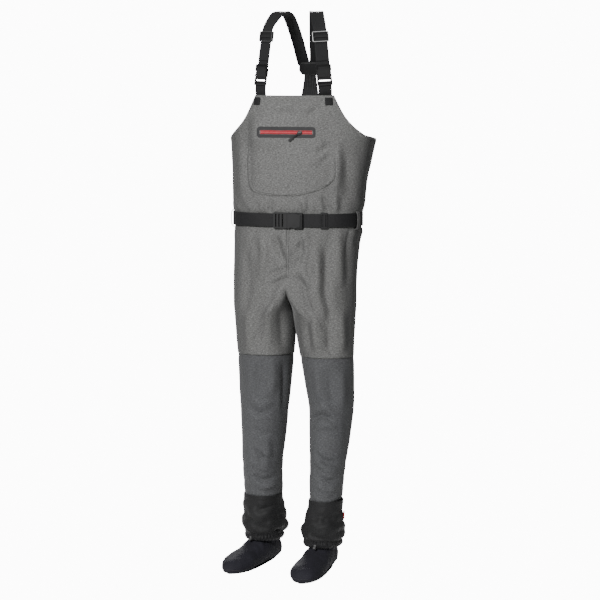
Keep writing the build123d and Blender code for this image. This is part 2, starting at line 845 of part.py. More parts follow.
def strap_patch(side, plane):
    with BuildPart() as patch:
        with BuildSketch(plane):
            with Locations((SIDES[side] * 8, -6)):
                RectangleRounded(21, 24, 2)
        extrude(amount=1.1)
    save(patch, f"{side}_strap_patch")


def strap_tab(side, plane):
    """Short webbing from the bib to the buckle plug."""
    with BuildPart() as tab:
        with BuildSketch(plane.offset(STRAP_MID - WEB_T / 2)):
            with Locations((0, 19)):
                Rectangle(WEB_W, 60)
        extrude(amount=WEB_T)
    save(tab, f"{side}_strap_tab")


def strap_front(side, plane):
    """Straight from the socket, then up to the top of the shoulder."""
    faces = [
        strip_face(
            Plane(origin=strap_point(plane, y), x_dir=plane.x_dir, z_dir=plane.y_dir),
            WEB_W,
            WEB_T,
        )
        for y in (RUN_END, RUN_END + 9)
    ]
    faces += shoulder_faces(SHOULDER_FRONT, SIDES[side])
    with BuildPart() as strap:
        loft(faces)
        # straight run below the arch
        with BuildSketch(plane.offset(STRAP_MID - WEB_T / 2)):
            with Locations((0, (RUN_START + RUN_END) / 2)):
                Rectangle(WEB_W, RUN_END - RUN_START)
        extrude(amount=WEB_T)
    save(strap, f"{side}_strap_front")


def strap_back(side):
    """From the top of the shoulder down to the yoke."""
    faces = shoulder_faces(SHOULDER_BACK, SIDES[side])
    with BuildPart() as strap:
        loft(faces)
    save(strap, f"{side}_strap_back")


def strap_adjuster(side, plane):
    """Length adjuster: a frame round the strap with a bar across its front."""
    passage = Plane(origin=strap_point(plane, ADJUSTER_Y), x_dir=plane.x_dir, z_dir=plane.y_dir)
    with BuildPart() as adjuster:
        with BuildSketch(plane.offset(-1.4)):
            with Locations((0, ADJUSTER_Y)):
                RectangleRounded(WEB_W + 8, 30, 3)
        extrude(amount=7.6)
        # passage for the webbing
        with BuildSketch(passage.offset(-20)):
            Rectangle(WEB_W + 1.6, WEB_T + 1.8)
        extrude(amount=40, mode=Mode.SUBTRACT)
        # two front windows either side of the bar, one window behind
        with BuildSketch(plane.offset(3.0)):
            with Locations((0, ADJUSTER_Y - 6.6), (0, ADJUSTER_Y + 6.6)):
                RectangleRounded(WEB_W - 3, 8, 1.5)
        extrude(amount=6, mode=Mode.SUBTRACT)
        with BuildSketch(plane.offset(-3.0)):
            with Locations((0, ADJUSTER_Y)):
                RectangleRounded(WEB_W - 3, 21, 1.5)
        extrude(amount=4, mode=Mode.SUBTRACT)
    save(adjuster, f"{side}_strap_adjuster")


for side, s in SIDES.items():
    frame = strap_frame(s)
    buckle(f"{side}_strap", frame, STRAP_BUCKLE)
    strap_patch(side, frame)
    strap_tab(side, frame)
    strap_front(side, frame)
    strap_back(side)
    strap_adjuster(side, frame)

# ---------------------------------------------------------------- back yoke and elastic
# yoke outline: across, up along the yoke
YOKE = [(-30, 18), (30, 18), (36, -8), (27, -22), (-27, -22), (-36, -8)]
# elastic sections, from the yoke down to the back panel: centre, half width
ELASTIC = [
    ((6, 131.6, 1465.0), 18.0),
    ((6, 131.0, 1430.0), 23.0),
    ((7, 123.0, 1390.0), 30.0),
    ((9, 112.0, BACK_TOP + 1.5), 37.0),
]


def back_yoke():
    """Leaning plate where the straps meet."""
    plane = Plane(origin=(SHOULDER_X, 120.5, 1490), x_dir=(1, 0, 0), z_dir=(0, -0.92, -0.40))
    with BuildPart() as yoke:
        with BuildSketch(plane):
            with BuildLine():
                Polyline(*YOKE, close=True)
            make_face()
        extrude(amount=2.6, both=True)
    save(yoke, "back_yoke")


def back_elastic():
    faces = [
        strip_face(Plane(origin=centre, x_dir=(1, 0, 0), z_dir=(0, 0, -1)), 2 * half_width, 2.4)
        for centre, half_width in ELASTIC
    ]
    with BuildPart() as elastic:
        loft(faces)
    save(elastic, "back_elastic")


back_yoke()
back_elastic()
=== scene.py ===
# Bib trousers with shoulder straps, a chest zip and pocket, a belt, foot guards and socks,
# standing as if worn. The front faces -Y, the wearer's left is +X, and the soles rest on z = 0.
# Lengths are in millimetres until make_mesh() turns them into metres; materials, modifiers,
# lights and the camera are in metres.
import math
import bmesh
import bpy
import numpy as np
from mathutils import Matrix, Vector
from mathutils.bvhtree import BVHTree


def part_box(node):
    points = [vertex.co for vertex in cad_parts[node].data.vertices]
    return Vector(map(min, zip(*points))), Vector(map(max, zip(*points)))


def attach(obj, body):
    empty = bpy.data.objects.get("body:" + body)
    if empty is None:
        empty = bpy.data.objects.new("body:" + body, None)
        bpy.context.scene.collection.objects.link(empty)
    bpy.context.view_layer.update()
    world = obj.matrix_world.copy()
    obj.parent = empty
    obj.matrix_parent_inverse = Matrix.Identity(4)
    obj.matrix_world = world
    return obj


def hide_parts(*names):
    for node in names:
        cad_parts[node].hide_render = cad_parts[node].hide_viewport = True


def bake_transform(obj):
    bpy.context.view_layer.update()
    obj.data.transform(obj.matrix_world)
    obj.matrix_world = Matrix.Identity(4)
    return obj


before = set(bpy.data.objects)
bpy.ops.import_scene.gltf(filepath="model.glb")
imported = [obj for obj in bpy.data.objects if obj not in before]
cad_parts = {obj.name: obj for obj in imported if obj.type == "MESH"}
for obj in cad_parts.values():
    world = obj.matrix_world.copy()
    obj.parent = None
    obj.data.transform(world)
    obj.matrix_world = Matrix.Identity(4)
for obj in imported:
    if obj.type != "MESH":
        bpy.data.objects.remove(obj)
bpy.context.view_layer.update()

# The camera stands 15 degrees from the front, towards the wearer's left
VIEW_TURN = math.radians(15.0)
VIEW_COS, VIEW_SIN = math.cos(VIEW_TURN), math.sin(VIEW_TURN)
TO_CAMERA = np.array([VIEW_SIN, -VIEW_COS, 0.0])

SIDES = {"right": -1, "left": 1}          # sign of x
FRONT_ANGLE = -math.pi / 2

# Height, centre x, centre y, half width, half depth, superellipse power
TRUNK = [
    (1440, 15, 0, 150, 102, 2.4),
    (1410, 15, 0, 160, 103, 2.5),
    (1350, 17, 0, 190, 106, 2.6),
    (1285, 20, 0, 214, 108, 2.8),
    (1230, 16, 0, 209, 108, 2.7),
    (1170, 10, 0, 202, 107, 2.6),
    (1110, 6, 0, 197, 105, 2.55),
    (1070, 4, 0, 191, 101, 2.5),
    (1046, 3, 0, 187.5, 97, 2.5),
    (1020, 2, 0, 187, 99, 2.45),
    (990, -1, 0, 186, 103, 2.4),
    (920, -4, 0, 185, 106, 2.4),
    (840, -6, 0, 184, 106, 2.4),
]
# Height, centre x, centre y, half width, half depth
LEG = {
    "right": [
        (840, -97, 0, 92, 98), (800, -97, 0, 90, 95), (760, -95, 0, 90, 94),
        (720, -95.5, 0, 88.5, 92), (687, -96, 0, 87, 90), (640, -96.5, 0, 83.5, 87),
        (560, -98, 0, 78, 82), (480, -99, 0, 72, 76), (390, -102, 0, 66, 70),
        (300, -106, 0, 59, 64), (196, -104, 0, 55, 59),
    ],
    "left": [
        (840, 87, 0, 92, 98), (800, 88, 0, 89, 95), (760, 88, 0, 88, 93),
        (720, 89, 0, 86.5, 91), (687, 90.5, 0, 84, 89), (640, 94, 0, 80.5, 85),
        (560, 101, -3, 74, 79), (480, 107, -8, 66, 73), (390, 105, -18, 60, 67),
        (300, 103, -34, 51, 60), (196, 101, -48, 47, 56),
    ],
}
BIB_TOP, BACK_TOP, ARM_LOW = 1410.0, 1345.0, 1281.0
CROTCH = 846.0
HEM = {"right": 643.0, "left": 639.0}     # lower edge of the light cloth
BELT_Z = 1046.0


# ------------------------------------------------------------------ numbers
def spline(xs, ys, x):
    """Monotone cubic through (xs, ys), evaluated at x."""
    xs, ys = np.asarray(xs, float), np.asarray(ys, float)
    gap = np.diff(xs)
    slope = np.diff(ys) / gap
    tangent = np.zeros_like(xs)
    for i in range(1, len(xs) - 1):
        if slope[i - 1] * slope[i] > 0:
            before, after = 2 * gap[i] + gap[i - 1], gap[i] + 2 * gap[i - 1]
            tangent[i] = (before + after) / (before / slope[i - 1] + after / slope[i])
    tangent[0], tangent[-1] = slope[0], slope[-1]
    x = np.clip(x, xs[0], xs[-1])
    i = np.clip(np.searchsorted(xs, x) - 1, 0, len(xs) - 2)
    t = (x - xs[i]) / gap[i]
    return (
        ys[i] * (1 + 2 * t) * (1 - t) ** 2
        + gap[i] * tangent[i] * t * (1 - t) ** 2
        + ys[i + 1] * t * t * (3 - 2 * t)
        + gap[i] * tangent[i + 1] * t * t * (t - 1)
    )


def stations_at(table, position):
    """The columns of a station table after the first, at a position in the first."""
    columns = list(zip(*sorted(table)))
    return [spline(columns[0], column, position) for column in columns[1:]]


def smooth(x, low=0.0, high=1.0):
    """0 below low, 1 above high, with an S curve between."""
    t = np.clip((np.asarray(x, float) - low) / (high - low), 0, 1)
    return t * t * (3 - 2 * t)


def bell(distance, width):
    return np.exp(-((distance / width) ** 2))


def unit(v):
    v = np.asarray(v, float)
    return v / np.maximum(np.linalg.norm(v, axis=-1, keepdims=True), 1e-12)


def signed_power(x, power):
    return np.sign(x) * np.abs(x) ** power


def circle(count, start=0.0):
    return start + 2 * math.pi * np.arange(count) / count


def waves(p, scale, seed, count=18, stretch=(1.0, 1.0, 1.0)):
    """Smooth noise in about -1..1: a sum of plane waves of about the given length."""
    rng = np.random.RandomState(seed)
    total = np.zeros(p.shape[:-1])
    for _ in range(count):
        k = rng.normal(size=p.shape[-1])
        k = k / np.linalg.norm(k) * (2 * math.pi / scale) * rng.uniform(0.6, 1.5)
        k = k / np.asarray(stretch[: p.shape[-1]])
        total += np.sin(p @ k + rng.uniform(0, 6.28))
    return total / math.sqrt(count) * 0.8


def ring_points(theta, z, cx, cy, half_width, half_depth, power=2.0):
    """Points on superellipses; theta runs anticlockwise seen from above."""
    x = cx + half_width * signed_power(np.cos(theta), 2 / power)
    y = cy + half_depth * signed_power(np.sin(theta), 2 / power)
    return np.stack([x, y, np.broadcast_to(z, x.shape)], -1)


def leg_at(side, theta, z):
    return ring_points(theta, z, *stations_at(LEG[side], z))


def box_mm(name):
    """Low corner, high corner and centre of a CAD piece."""
    low, high = (np.array([corner.x, corner.y, corner.z]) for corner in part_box(name))
    return low * 1000, high * 1000, (low + high) * 500


# ------------------------------------------------------------------ paths
def distances(path):
    """Distance along a path at each of its points."""
    return np.concatenate([[0], np.cumsum(np.linalg.norm(np.diff(path, axis=0), axis=1))])


def resample(path, step):
    path = np.asarray(path, float)
    s = distances(path)
    t = np.linspace(0, s[-1], max(3, int(s[-1] / step) + 1))
    return np.stack([np.interp(t, s, path[:, k]) for k in range(path.shape[1])], 1)


def relax_loop(path, times):
    for _ in range(times):
        path = (np.roll(path, 1, 0) + 2 * path + np.roll(path, -1, 0)) / 4
    return path


def relax_path(path, times=3):
    for _ in range(times):
        path[1:-1] = (path[:-2] + 2 * path[1:-1] + path[2:]) / 4
    return path


def curve(points, step):
    """A smooth path through points."""
    points = np.asarray(points, float)
    s = distances(points)
    t = np.linspace(0, s[-1], max(6, int(s[-1] / step) + 1))
    return relax_path(np.stack([spline(s, points[:, k], t) for k in range(points.shape[1])], 1))


# ------------------------------------------------------------------ meshes
def make_mesh(name, verts, faces, loop_uv=None):
    mesh = bpy.data.meshes.new(name)
    mesh.from_pydata((np.asarray(verts, float) / 1000.0).tolist(), [], faces)
    if loop_uv is not None:
        layer = mesh.uv_layers.new(name="UVMap")
        layer.data.foreach_set("uv", np.asarray(loop_uv, np.float32).ravel())
    mesh.polygons.foreach_set("use_smooth", [True] * len(mesh.polygons))
    mesh.update()
    obj = bpy.data.objects.new(name, mesh)
    bpy.context.scene.collection.objects.link(obj)
    return obj


def grid(row_count, cols, closed, base=0):
    """Quads of a grid of vertices; the columns wrap when closed."""
    faces = []
    for i in range(row_count - 1):
        for j in range(cols if closed else cols - 1):
            k = (j + 1) % cols
            faces.append((base + i * cols + j, base + i * cols + k,
                          base + (i + 1) * cols + k, base + (i + 1) * cols + j))
    return faces


def caps(row_count, cols):
    """Polygons that close both ends of a closed grid."""
    return [tuple(range(cols))[::-1], tuple((row_count - 1) * cols + j for j in range(cols))]


def wrap(values):
    """Repeats the first column after the last."""
    return np.concatenate([values, values[:, :1]], 1)


def grid_uv(u, v):
    """Per-loop UVs for grid(); a closed grid needs one column more than it has vertices."""
    a = np.stack([u, v], -1)
    return np.stack([a[:-1, :-1], a[:-1, 1:], a[1:, 1:], a[1:, :-1]], 2).reshape(-1, 2)


def arc_lengths(p):
    """Arc length round the rows of a closed grid, in metres, with the column that closes it."""
    steps = np.linalg.norm(np.diff(wrap(p), axis=1), axis=-1)
    return np.concatenate([np.zeros((len(p), 1)), np.cumsum(steps, 1)], 1) / 1000.0


def tube_uv(p):
    """UVs of a closed grid: arc length from the middle, and height."""
    s = arc_lengths(p)
    return grid_uv(s - s[:, -1:] / 2, wrap(p[..., 2]) / 1000)


def normals(p):
    """Outward normals of a closed grid, columns anticlockwise from above, rows going down."""
    return unit(np.cross(np.gradient(p, axis=0), np.roll(p, -1, 1) - np.roll(p, 1, 1)))


def merge(parts):
    verts, faces, count = [], [], 0
    for part_verts, part_faces in parts:
        verts.append(part_verts)
        faces += [tuple(i + count for i in face) for face in part_faces]
        count += len(part_verts)
    return np.concatenate(verts, 0), faces


def apply_mods(obj):
    bpy.context.view_layer.update()
    graph = bpy.context.evaluated_depsgraph_get()
    mesh = bpy.data.meshes.new_from_object(obj.evaluated_get(graph), depsgraph=graph)
    mesh.name = obj.name
    obj.modifiers.clear()
    obj.data = mesh


def thicken(obj, thickness, offset=-1.0):
    solid = obj.modifiers.new("t", "SOLIDIFY")
    solid.thickness = thickness / 1000.0
    solid.offset = offset
    solid.use_even_offset = False
    solid.use_rim = True
    apply_mods(obj)


def face_outwards(obj):
    bm = bmesh.new()
    bm.from_mesh(obj.data)
    bmesh.ops.recalc_face_normals(bm, faces=bm.faces)
    bm.to_mesh(obj.data)
    bm.free()


def dress(obj, material, body=None, slot=None, *replaced):
    """Gives a piece its material and the body it moves with, and hides the CAD pieces it replaces;
    slot is not used.
    """
    obj.data.materials.clear()
    obj.data.materials.append(material)
    if body:
        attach(obj, body)
    if replaced:
        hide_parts(*replaced)


# ------------------------------------------------------------------ shader helpers
def new_material(name):
    material = bpy.data.materials.new(name)
    material.use_nodes = True
    tree = material.node_tree
    tree.nodes.clear()
    output = tree.nodes.new("ShaderNodeOutputMaterial")
    shader = tree.nodes.new("ShaderNodeBsdfPrincipled")
    tree.links.new(shader.outputs["BSDF"], output.inputs["Surface"])
    return material, tree, shader


def set_inputs(node, **values):
    """Sets inputs by name; an underscore stands for a space."""
    for name, value in values.items():
        node.inputs[name.replace("_", " ")].default_value = value


def grey(level):
    return (level, level, level)


def mapped(tree, source, scale):
    coords = tree.nodes.new("ShaderNodeTexCoord")
    mapping = tree.nodes.new("ShaderNodeMapping")
    mapping.inputs["Scale"].default_value = scale
    tree.links.new(coords.outputs[source], mapping.inputs["Vector"])
    return mapping.outputs["Vector"]


def noise(tree, source, scale, detail, rough):
    """Noise on "UV" or "Object" coordinates; scale is one number or one for each axis."""
    vector = mapped(tree, source, scale if isinstance(scale, tuple) else (scale,) * 3)
    texture = tree.nodes.new("ShaderNodeTexNoise")
    set_inputs(texture, Scale=1.0, Detail=detail, Roughness=rough)
    tree.links.new(vector, texture.inputs["Vector"])
    return texture.outputs["Fac"]


def bands(tree, axis, scale, distortion=0.0):
    """Bands that follow one another along U (axis X) or V (axis Y)."""
    texture = tree.nodes.new("ShaderNodeTexWave")
    texture.wave_type, texture.bands_direction = "BANDS", axis
    set_inputs(texture, Scale=1.0, Distortion=distortion)
    stretch = (scale, 1, 1) if axis == "X" else (1, scale, 1)
    tree.links.new(mapped(tree, "UV", stretch), texture.inputs["Vector"])
    return texture.outputs["Fac"]


def ramp(tree, factor, *stops):
    node = tree.nodes.new("ShaderNodeValToRGB")
    elements = node.color_ramp.elements
    while len(elements) < len(stops):
        elements.new(0.5)
    for element, (position, color) in zip(elements, stops):
        element.position = position
        element.color = (*color, 1.0)
    tree.links.new(factor, node.inputs["Fac"])
    return node.outputs["Color"]


def math_node(tree, operation, *values):
    node = tree.nodes.new("ShaderNodeMath")
    node.operation = operation
    for i, value in enumerate(values):
        if isinstance(value, (int, float)):
            node.inputs[i].default_value = value
        else:
            tree.links.new(value, node.inputs[i])
    return node.outputs[0]


def weighted_sum(tree, *terms):
    total = None
    for value, weight in terms:
        term = math_node(tree, "MULTIPLY", value, weight)
        total = term if total is None else math_node(tree, "ADD", total, term)
    return total


def mix_color(tree, factor, a, b, mode="MIX"):
    node = tree.nodes.new("ShaderNodeMix")
    node.data_type = "RGBA"
    node.blend_type = mode
    sockets = [socket for socket in node.inputs if socket.enabled]
    for socket, value in zip(sockets, (factor, a, b)):
        if isinstance(value, (int, float)):
            socket.default_value = value
        elif isinstance(value, tuple):
            socket.default_value = (*value, 1.0)
        else:
            tree.links.new(value, socket)
    return [socket for socket in node.outputs if socket.enabled][0]


def multiply(tree, a, b):
    return mix_color(tree, 1.0, a, b, "MULTIPLY")


def add_bump(tree, shader, height, strength, distance):
    node = tree.nodes.new("ShaderNodeBump")
    set_inputs(node, Strength=strength, Distance=distance)
    tree.links.new(height, node.inputs["Height"])
    tree.links.new(node.outputs["Normal"], shader.inputs["Normal"])


# ------------------------------------------------------------------ materials
def heather(name, dark, mid, light, grazing_painted_shade):
    """Melange plain weave, in UV metres, with painted shade that darkens the colour where the cloth
    is seen at a grazing angle; the last argument is the colour's factor there.
    """
    material, tree, shader = new_material(name)
    weft = noise(tree, "UV", (130, 640, 1), detail=4.0, rough=0.7)
    warp = noise(tree, "UV", (640, 150, 1), detail=4.0, rough=0.7)
    fleck = noise(tree, "UV", (360, 420, 1), detail=3.0, rough=0.7)
    handling = noise(tree, "Object", (5, 5, 4), detail=3.0, rough=0.55)
    yarn = weighted_sum(tree, (weft, 0.5), (warp, 0.32), (fleck, 0.18))
    color = ramp(tree, yarn, (0.37, dark), (0.5, mid), (0.63, light))
    # slow variation, as cloth that has been handled
    vary = ramp(tree, handling, (0.3, grey(0.90)), (0.7, grey(1.08)))
    color = multiply(tree, color, vary)
    # painted shade: the colour darkens towards a grazing view, so the flanks fall off as if turned
    # away from the light
    turn = tree.nodes.new("ShaderNodeLayerWeight")
    set_inputs(turn, Blend=0.5)
    painted_flank_shade = ramp(tree, turn.outputs["Facing"], (0.05, grey(1)), (0.56, grey(grazing_painted_shade)))
    color = multiply(tree, color, painted_flank_shade)
    tree.links.new(color, shader.inputs["Base Color"])
    set_inputs(shader, Roughness=0.86, Specular_IOR_Level=0.16,
               Sheen_Weight=0.04, Sheen_Roughness=0.45)
    thread = math_node(tree, "MULTIPLY", bands(tree, "X", 260), bands(tree, "Y", 260))
    relief = weighted_sum(tree, (thread, 0.6), (yarn, 1.6))
    add_bump(tree, shader, relief, strength=0.35, distance=0.0006)
    return material


def matte_cloth(name, low, high, source, grain_scale, blotch_scale, blotch_high,
                rough, specular, sheen_rough, blotch_relief):
    """Near-black matte cloth: fine grain between two colours, with slow blotches."""
    material, tree, shader = new_material(name)
    grain = noise(tree, source, grain_scale, detail=2.0, rough=0.6)
    blotches = noise(tree, "Object", blotch_scale, detail=3.0, rough=0.5)
    color = ramp(tree, grain, (0.3, low), (0.7, high))
    color = multiply(tree, color, ramp(tree, blotches, (0.3, grey(0.85)), (0.7, blotch_high)))
    tree.links.new(color, shader.inputs["Base Color"])
    set_inputs(shader, Roughness=rough, Specular_IOR_Level=specular,
               Sheen_Weight=0.01, Sheen_Roughness=sheen_rough)
    relief = grain
    if blotch_relief:
        relief = math_node(tree, "ADD", grain,
                           math_node(tree, "MULTIPLY", blotches, blotch_relief))
    add_bump(tree, shader, relief, strength=0.3, distance=0.0005)
    return material


def webbing(name, low, high):
    """Ribbed webbing. U runs along it and V across it, in metres."""
    material, tree, shader = new_material(name)
    ribs = bands(tree, "Y", 115, distortion=0.6)
    picks = bands(tree, "X", 190)
    fuzz = noise(tree, "UV", (500, 700, 1), detail=3.0, rough=0.7)
    relief = weighted_sum(tree, (ribs, 0.8), (picks, 0.35))
    tone = weighted_sum(tree, (relief, 0.45), (fuzz, 0.5))
    color = ramp(tree, tone, (0.25, low), (0.85, high))
    tree.links.new(color, shader.inputs["Base Color"])
    set_inputs(shader, Roughness=0.6, Specular_IOR_Level=0.08, Sheen_Weight=0.01)
    add_bump(tree, shader, relief, strength=0.7, distance=0.0006)
    return material


def hard(name, low, high, rough, metal=0.0, grain=700, relief=0.00025, specular=0.1):
    """Moulded plastic, painted metal, thread or film, with fine grain and a painted highlight that
    lightens convex edges.
    """
    material, tree, shader = new_material(name)
    fine = noise(tree, "Object", grain, detail=3.0, rough=0.6)
    broad = noise(tree, "Object", 60, detail=3.0, rough=0.6)
    geometry = tree.nodes.new("ShaderNodeNewGeometry")
    # painted highlight: convex edges, found by pointiness, are mixed halfway towards a much lighter
    # copy of the colour
    edge = ramp(tree, geometry.outputs["Pointiness"], (0.50, grey(0)), (0.58, grey(1)))
    color = ramp(tree, broad, (0.3, low), (0.7, high))
    painted_edge_highlight = tuple(min(1.0, channel * 2.2 + 0.004) for channel in high)
    color = mix_color(tree, math_node(tree, "MULTIPLY", edge, 0.5), color, painted_edge_highlight)
    tree.links.new(color, shader.inputs["Base Color"])
    gloss = ramp(tree, fine, (0.3, grey(rough[0])), (0.7, grey(rough[1])))
    tree.links.new(gloss, shader.inputs["Roughness"])
    set_inputs(shader, Metallic=metal, Specular_IOR_Level=specular)
    add_bump(tree, shader, fine, strength=0.3, distance=relief)
    return material


# the last argument of heather() sets each cloth's painted shade seen at a grazing angle
LIGHT_CLOTH = heather("cloth_light", dark=(0.0122, 0.0122, 0.0120), mid=(0.0355, 0.0355, 0.0346),
                      light=(0.084, 0.084, 0.082), grazing_painted_shade=0.5)
DARK_CLOTH = heather("cloth_dark", dark=(0.0080, 0.0082, 0.0087), mid=(0.0198, 0.0203, 0.0213),
                     light=(0.0435, 0.0445, 0.0462), grazing_painted_shade=0.74)
GUARD_CLOTH = matte_cloth(
    "cloth_guard", (0.0028, 0.0028, 0.0029), (0.0062, 0.0062, 0.0064),
    source="UV", grain_scale=(380, 380, 1), blotch_scale=16, blotch_high=grey(1.2),
    rough=0.66, specular=0.07, sheen_rough=0.5, blotch_relief=2.0)
NEOPRENE = matte_cloth(
    "neoprene", (0.0033, 0.0032, 0.0043), (0.0071, 0.0069, 0.0090),
    source="Object", grain_scale=900, blotch_scale=22, blotch_high=(1.18, 1.18, 1.2),
    rough=0.8, specular=0.05, sheen_rough=0.4, blotch_relief=0.0)
NEOPRENE_TAPE = hard("neoprene_tape", (0.0036, 0.0036, 0.0044), (0.0075, 0.0075, 0.009),
                     rough=(0.6, 0.8), grain=900)
WEBBING = webbing("webbing", (0.0016, 0.0016, 0.0018), (0.0054, 0.0054, 0.0057))
ELASTIC = webbing("elastic", (0.0016, 0.0016, 0.0018), (0.0058, 0.0058, 0.0062))
PLASTIC = hard("buckle_plastic", (0.0010, 0.0010, 0.0011), (0.0026, 0.0026, 0.0027),
               rough=(0.40, 0.56), specular=0.08)
# one rim hardware in a lit and a shaded copy: the lighter one is a painted highlight, the darker
# one painted shade
RIM_WITH_PAINTED_HIGHLIGHT = hard("rim_painted_highlight", grey(0.11), grey(0.17), rough=(0.3, 0.42), metal=0.2, specular=0.3)
RIM_WITH_PAINTED_SHADE = hard("rim_painted_shade", grey(0.012), grey(0.022), rough=(0.36, 0.5), metal=0.2)
METAL = hard("dark_metal", grey(0.012), grey(0.025), rough=(0.3, 0.46), metal=0.6)
LAMINATE = hard("laminate", (0.0046, 0.0046, 0.0048), (0.0078, 0.0078, 0.0081),
                rough=(0.55, 0.72), grain=500, specular=0.05)
ZIP_RED = hard("zip_red", (0.088, 0.0045, 0.007), (0.13, 0.0085, 0.012),
               rough=(0.4, 0.55), grain=900, relief=0.0002)
ZIP_TAPE_RED = hard("zip_red_tape", (0.060, 0.0032, 0.005), (0.098, 0.0065, 0.009),
                    rough=(0.5, 0.7), grain=1500, specular=0.06)
LABEL_RED = hard("label_red", (0.085, 0.004, 0.005), (0.125, 0.009, 0.010),
                 rough=(0.7, 0.85), grain=1200)
GREY_THREAD = hard("stitch_grey", grey(0.030), grey(0.055), rough=(0.6, 0.8), grain=1500)
BLACK_THREAD = hard("stitch_black", grey(0.008), grey(0.018), rough=(0.6, 0.8), grain=1500)


# ------------------------------------------------------------------ folds
# Each fold: width, height (a crease when below zero), then its path as
# (distance across the view to the right, height) points.
TRUNK_FOLDS = [
    # bib: soft creases over and beside the zip, and in the upper corner
    (9, -1.5, (-66, 1353), (-33, 1362), (0, 1356)),
    (11, -1.3, (24, 1340), (52, 1366), (72, 1384)),
    (10, 1.1, (9, 1361), (36, 1378), (60, 1392)),
    (9, -3.0, (45, 1233), (78, 1254), (99, 1278)),
    (12, 1.8, (27, 1203), (63, 1233), (102, 1260)),
    (10, -1.8, (63, 1218), (93, 1242), (117, 1272)),
    (16, -1.2, (-87, 1212), (-66, 1251), (-42, 1272)),
    (12, 2.6, (117, 1296), (120, 1206), (111, 1101)),
    (16, -1.9, (144, 1251), (150, 1161), (141, 1065)),
    (13, 1.4, (-171, 1281), (-162, 1191), (-165, 1101)),
    (12, -1.2, (-144, 1305), (-141, 1206), (-135, 1101)),
    # between the pocket and the belt
    (10, 1.8, (-105, 1113), (-102, 1083), (-105, 1053)),
    (8, -2.0, (-75, 1110), (-75, 1080), (-78, 1053)),
    (7, 2.2, (9, 1113), (24, 1095), (27, 1065)),
    (8, 1.8, (42, 1116), (45, 1086), (42, 1053)),
    (9, -3.4, (69, 1125), (84, 1095), (90, 1059)),
    (9, 2.8, (111, 1131), (114, 1095), (114, 1059)),
    # below the belt: long vertical folds
    (13, 3.0, (-102, 1023), (-96, 951), (-105, 846)),
    (9, -3.2, (-66, 1017), (-54, 963), (-36, 915)),
    (8, 2.2, (-39, 1017), (-27, 957), (-21, 903)),
    (8, -3.0, (18, 1014), (15, 957), (-3, 897)),
    (14, 3.0, (48, 1017), (60, 915), (60, 801), (54, 711)),
    (13, -2.9, (84, 1020), (84, 927), (81, 831), (87, 741)),
    (13, 2.6, (126, 1023), (123, 933), (126, 831)),
    (10, -1.1, (150, 1017), (150, 915), (147, 813)),
    # creases that run into the crotch
    (7.5, -1.7, (-18, 915), (-51, 897), (-81, 882)),
    (7.5, -2.3, (-21, 885), (-57, 864), (-90, 846)),
    (7.5, 1.6, (-21, 897), (-48, 882), (-78, 864)),
    (8, 2.2, (-21, 864), (-51, 843), (-75, 822)),
    (8, -2.4, (-9, 933), (3, 963), (18, 987)),
    (9, -2.6, (-12, 891), (15, 861), (36, 813)),
    (10, 2.0, (-3, 915), (27, 885), (45, 843)),
    (12, -1.6, (-147, 981), (-144, 876), (-141, 771)),
]
THIGH_FOLDS = {
    "right": [
        (11, -2.0, (-117, 801), (-117, 711), (-120, 645)),
        (12, 2.4, (-87, 825), (-81, 735), (-81, 645)),
        (7, -1.4, (-93, 747), (-105, 711), (-117, 687)),
        (10, 1.4, (-153, 801), (-147, 696), (-144, 636)),
        (9, -1.6, (-48, 801), (-45, 711), (-45, 645)),
    ],
    "left": [
        (12, 3.2, (57, 816), (54, 726), (63, 636)),
        (11, -3.4, (87, 801), (93, 711), (96, 636)),
        (12, 2.6, (126, 801), (132, 696), (129, 633)),
        (9, -1.8, (27, 765), (36, 696), (39, 645)),
        (10, -0.9, (153, 801), (153, 681), (150, 633)),
    ],
}
LOWER_FOLDS = {
    "right": [
        (11, 1.8, (-144, 633), (-141, 567), (-135, 486)),
        (11, -2.0, (-111, 645), (-111, 585), (-102, 516)),
        (12, 2.2, (-75, 645), (-69, 576), (-72, 507)),
        (7, -1.8, (-42, 645), (-39, 546), (-42, 441)),
        (8, -2.2, (-150, 489), (-117, 468), (-81, 465)),
        (9, 1.8, (-141, 513), (-105, 495), (-63, 495)),
        (9, -1.6, (-135, 429), (-105, 405), (-75, 399)),
        (8, -2.4, (-135, 363), (-105, 333), (-63, 318)),
        (9, 2.0, (-147, 327), (-111, 303), (-81, 291)),
        (7, -2.6, (-141, 279), (-105, 264), (-57, 270)),
        (7, 2.0, (-135, 252), (-99, 240), (-51, 249)),
        (10, 1.4, (-93, 411), (-87, 351), (-93, 291)),
    ],
    "left": [
        (11, 2.2, (57, 624), (60, 561), (69, 495)),
        (12, -2.6, (93, 621), (99, 546), (102, 477)),
        (11, 2.4, (132, 621), (135, 546), (132, 471)),
        (8, -3.0, (36, 450), (69, 468), (114, 459)),
        (9, 2.2, (42, 477), (75, 495), (117, 489)),
        (9, 2.0, (45, 426), (81, 441), (123, 432)),
        (8, -2.4, (48, 363), (81, 336), (129, 327)),
        (8, 2.2, (51, 336), (87, 309), (135, 303)),
        (7, -2.8, (51, 297), (87, 276), (129, 279)),
        (7, 2.2, (48, 267), (87, 249), (132, 255)),
        (6, -2.0, (51, 234), (87, 222), (123, 231)),
        (10, -0.9, (147, 501), (150, 411), (144, 336)),
    ],
}
GUARD_FOLDS = {
    "right": [
        (9, -2.4, (-150, 141), (-117, 123), (-75, 123)),
        (9, 2.0, (-153, 165), (-117, 153), (-63, 165)),
        (8, -1.8, (-141, 186), (-105, 174), (-51, 192)),
    ],
    "left": [
        (9, -2.4, (21, 129), (57, 111), (111, 111)),
        (9, 2.0, (27, 153), (63, 141), (117, 147)),
        (8, -1.8, (45, 177), (81, 165), (129, 177)),
    ],
}


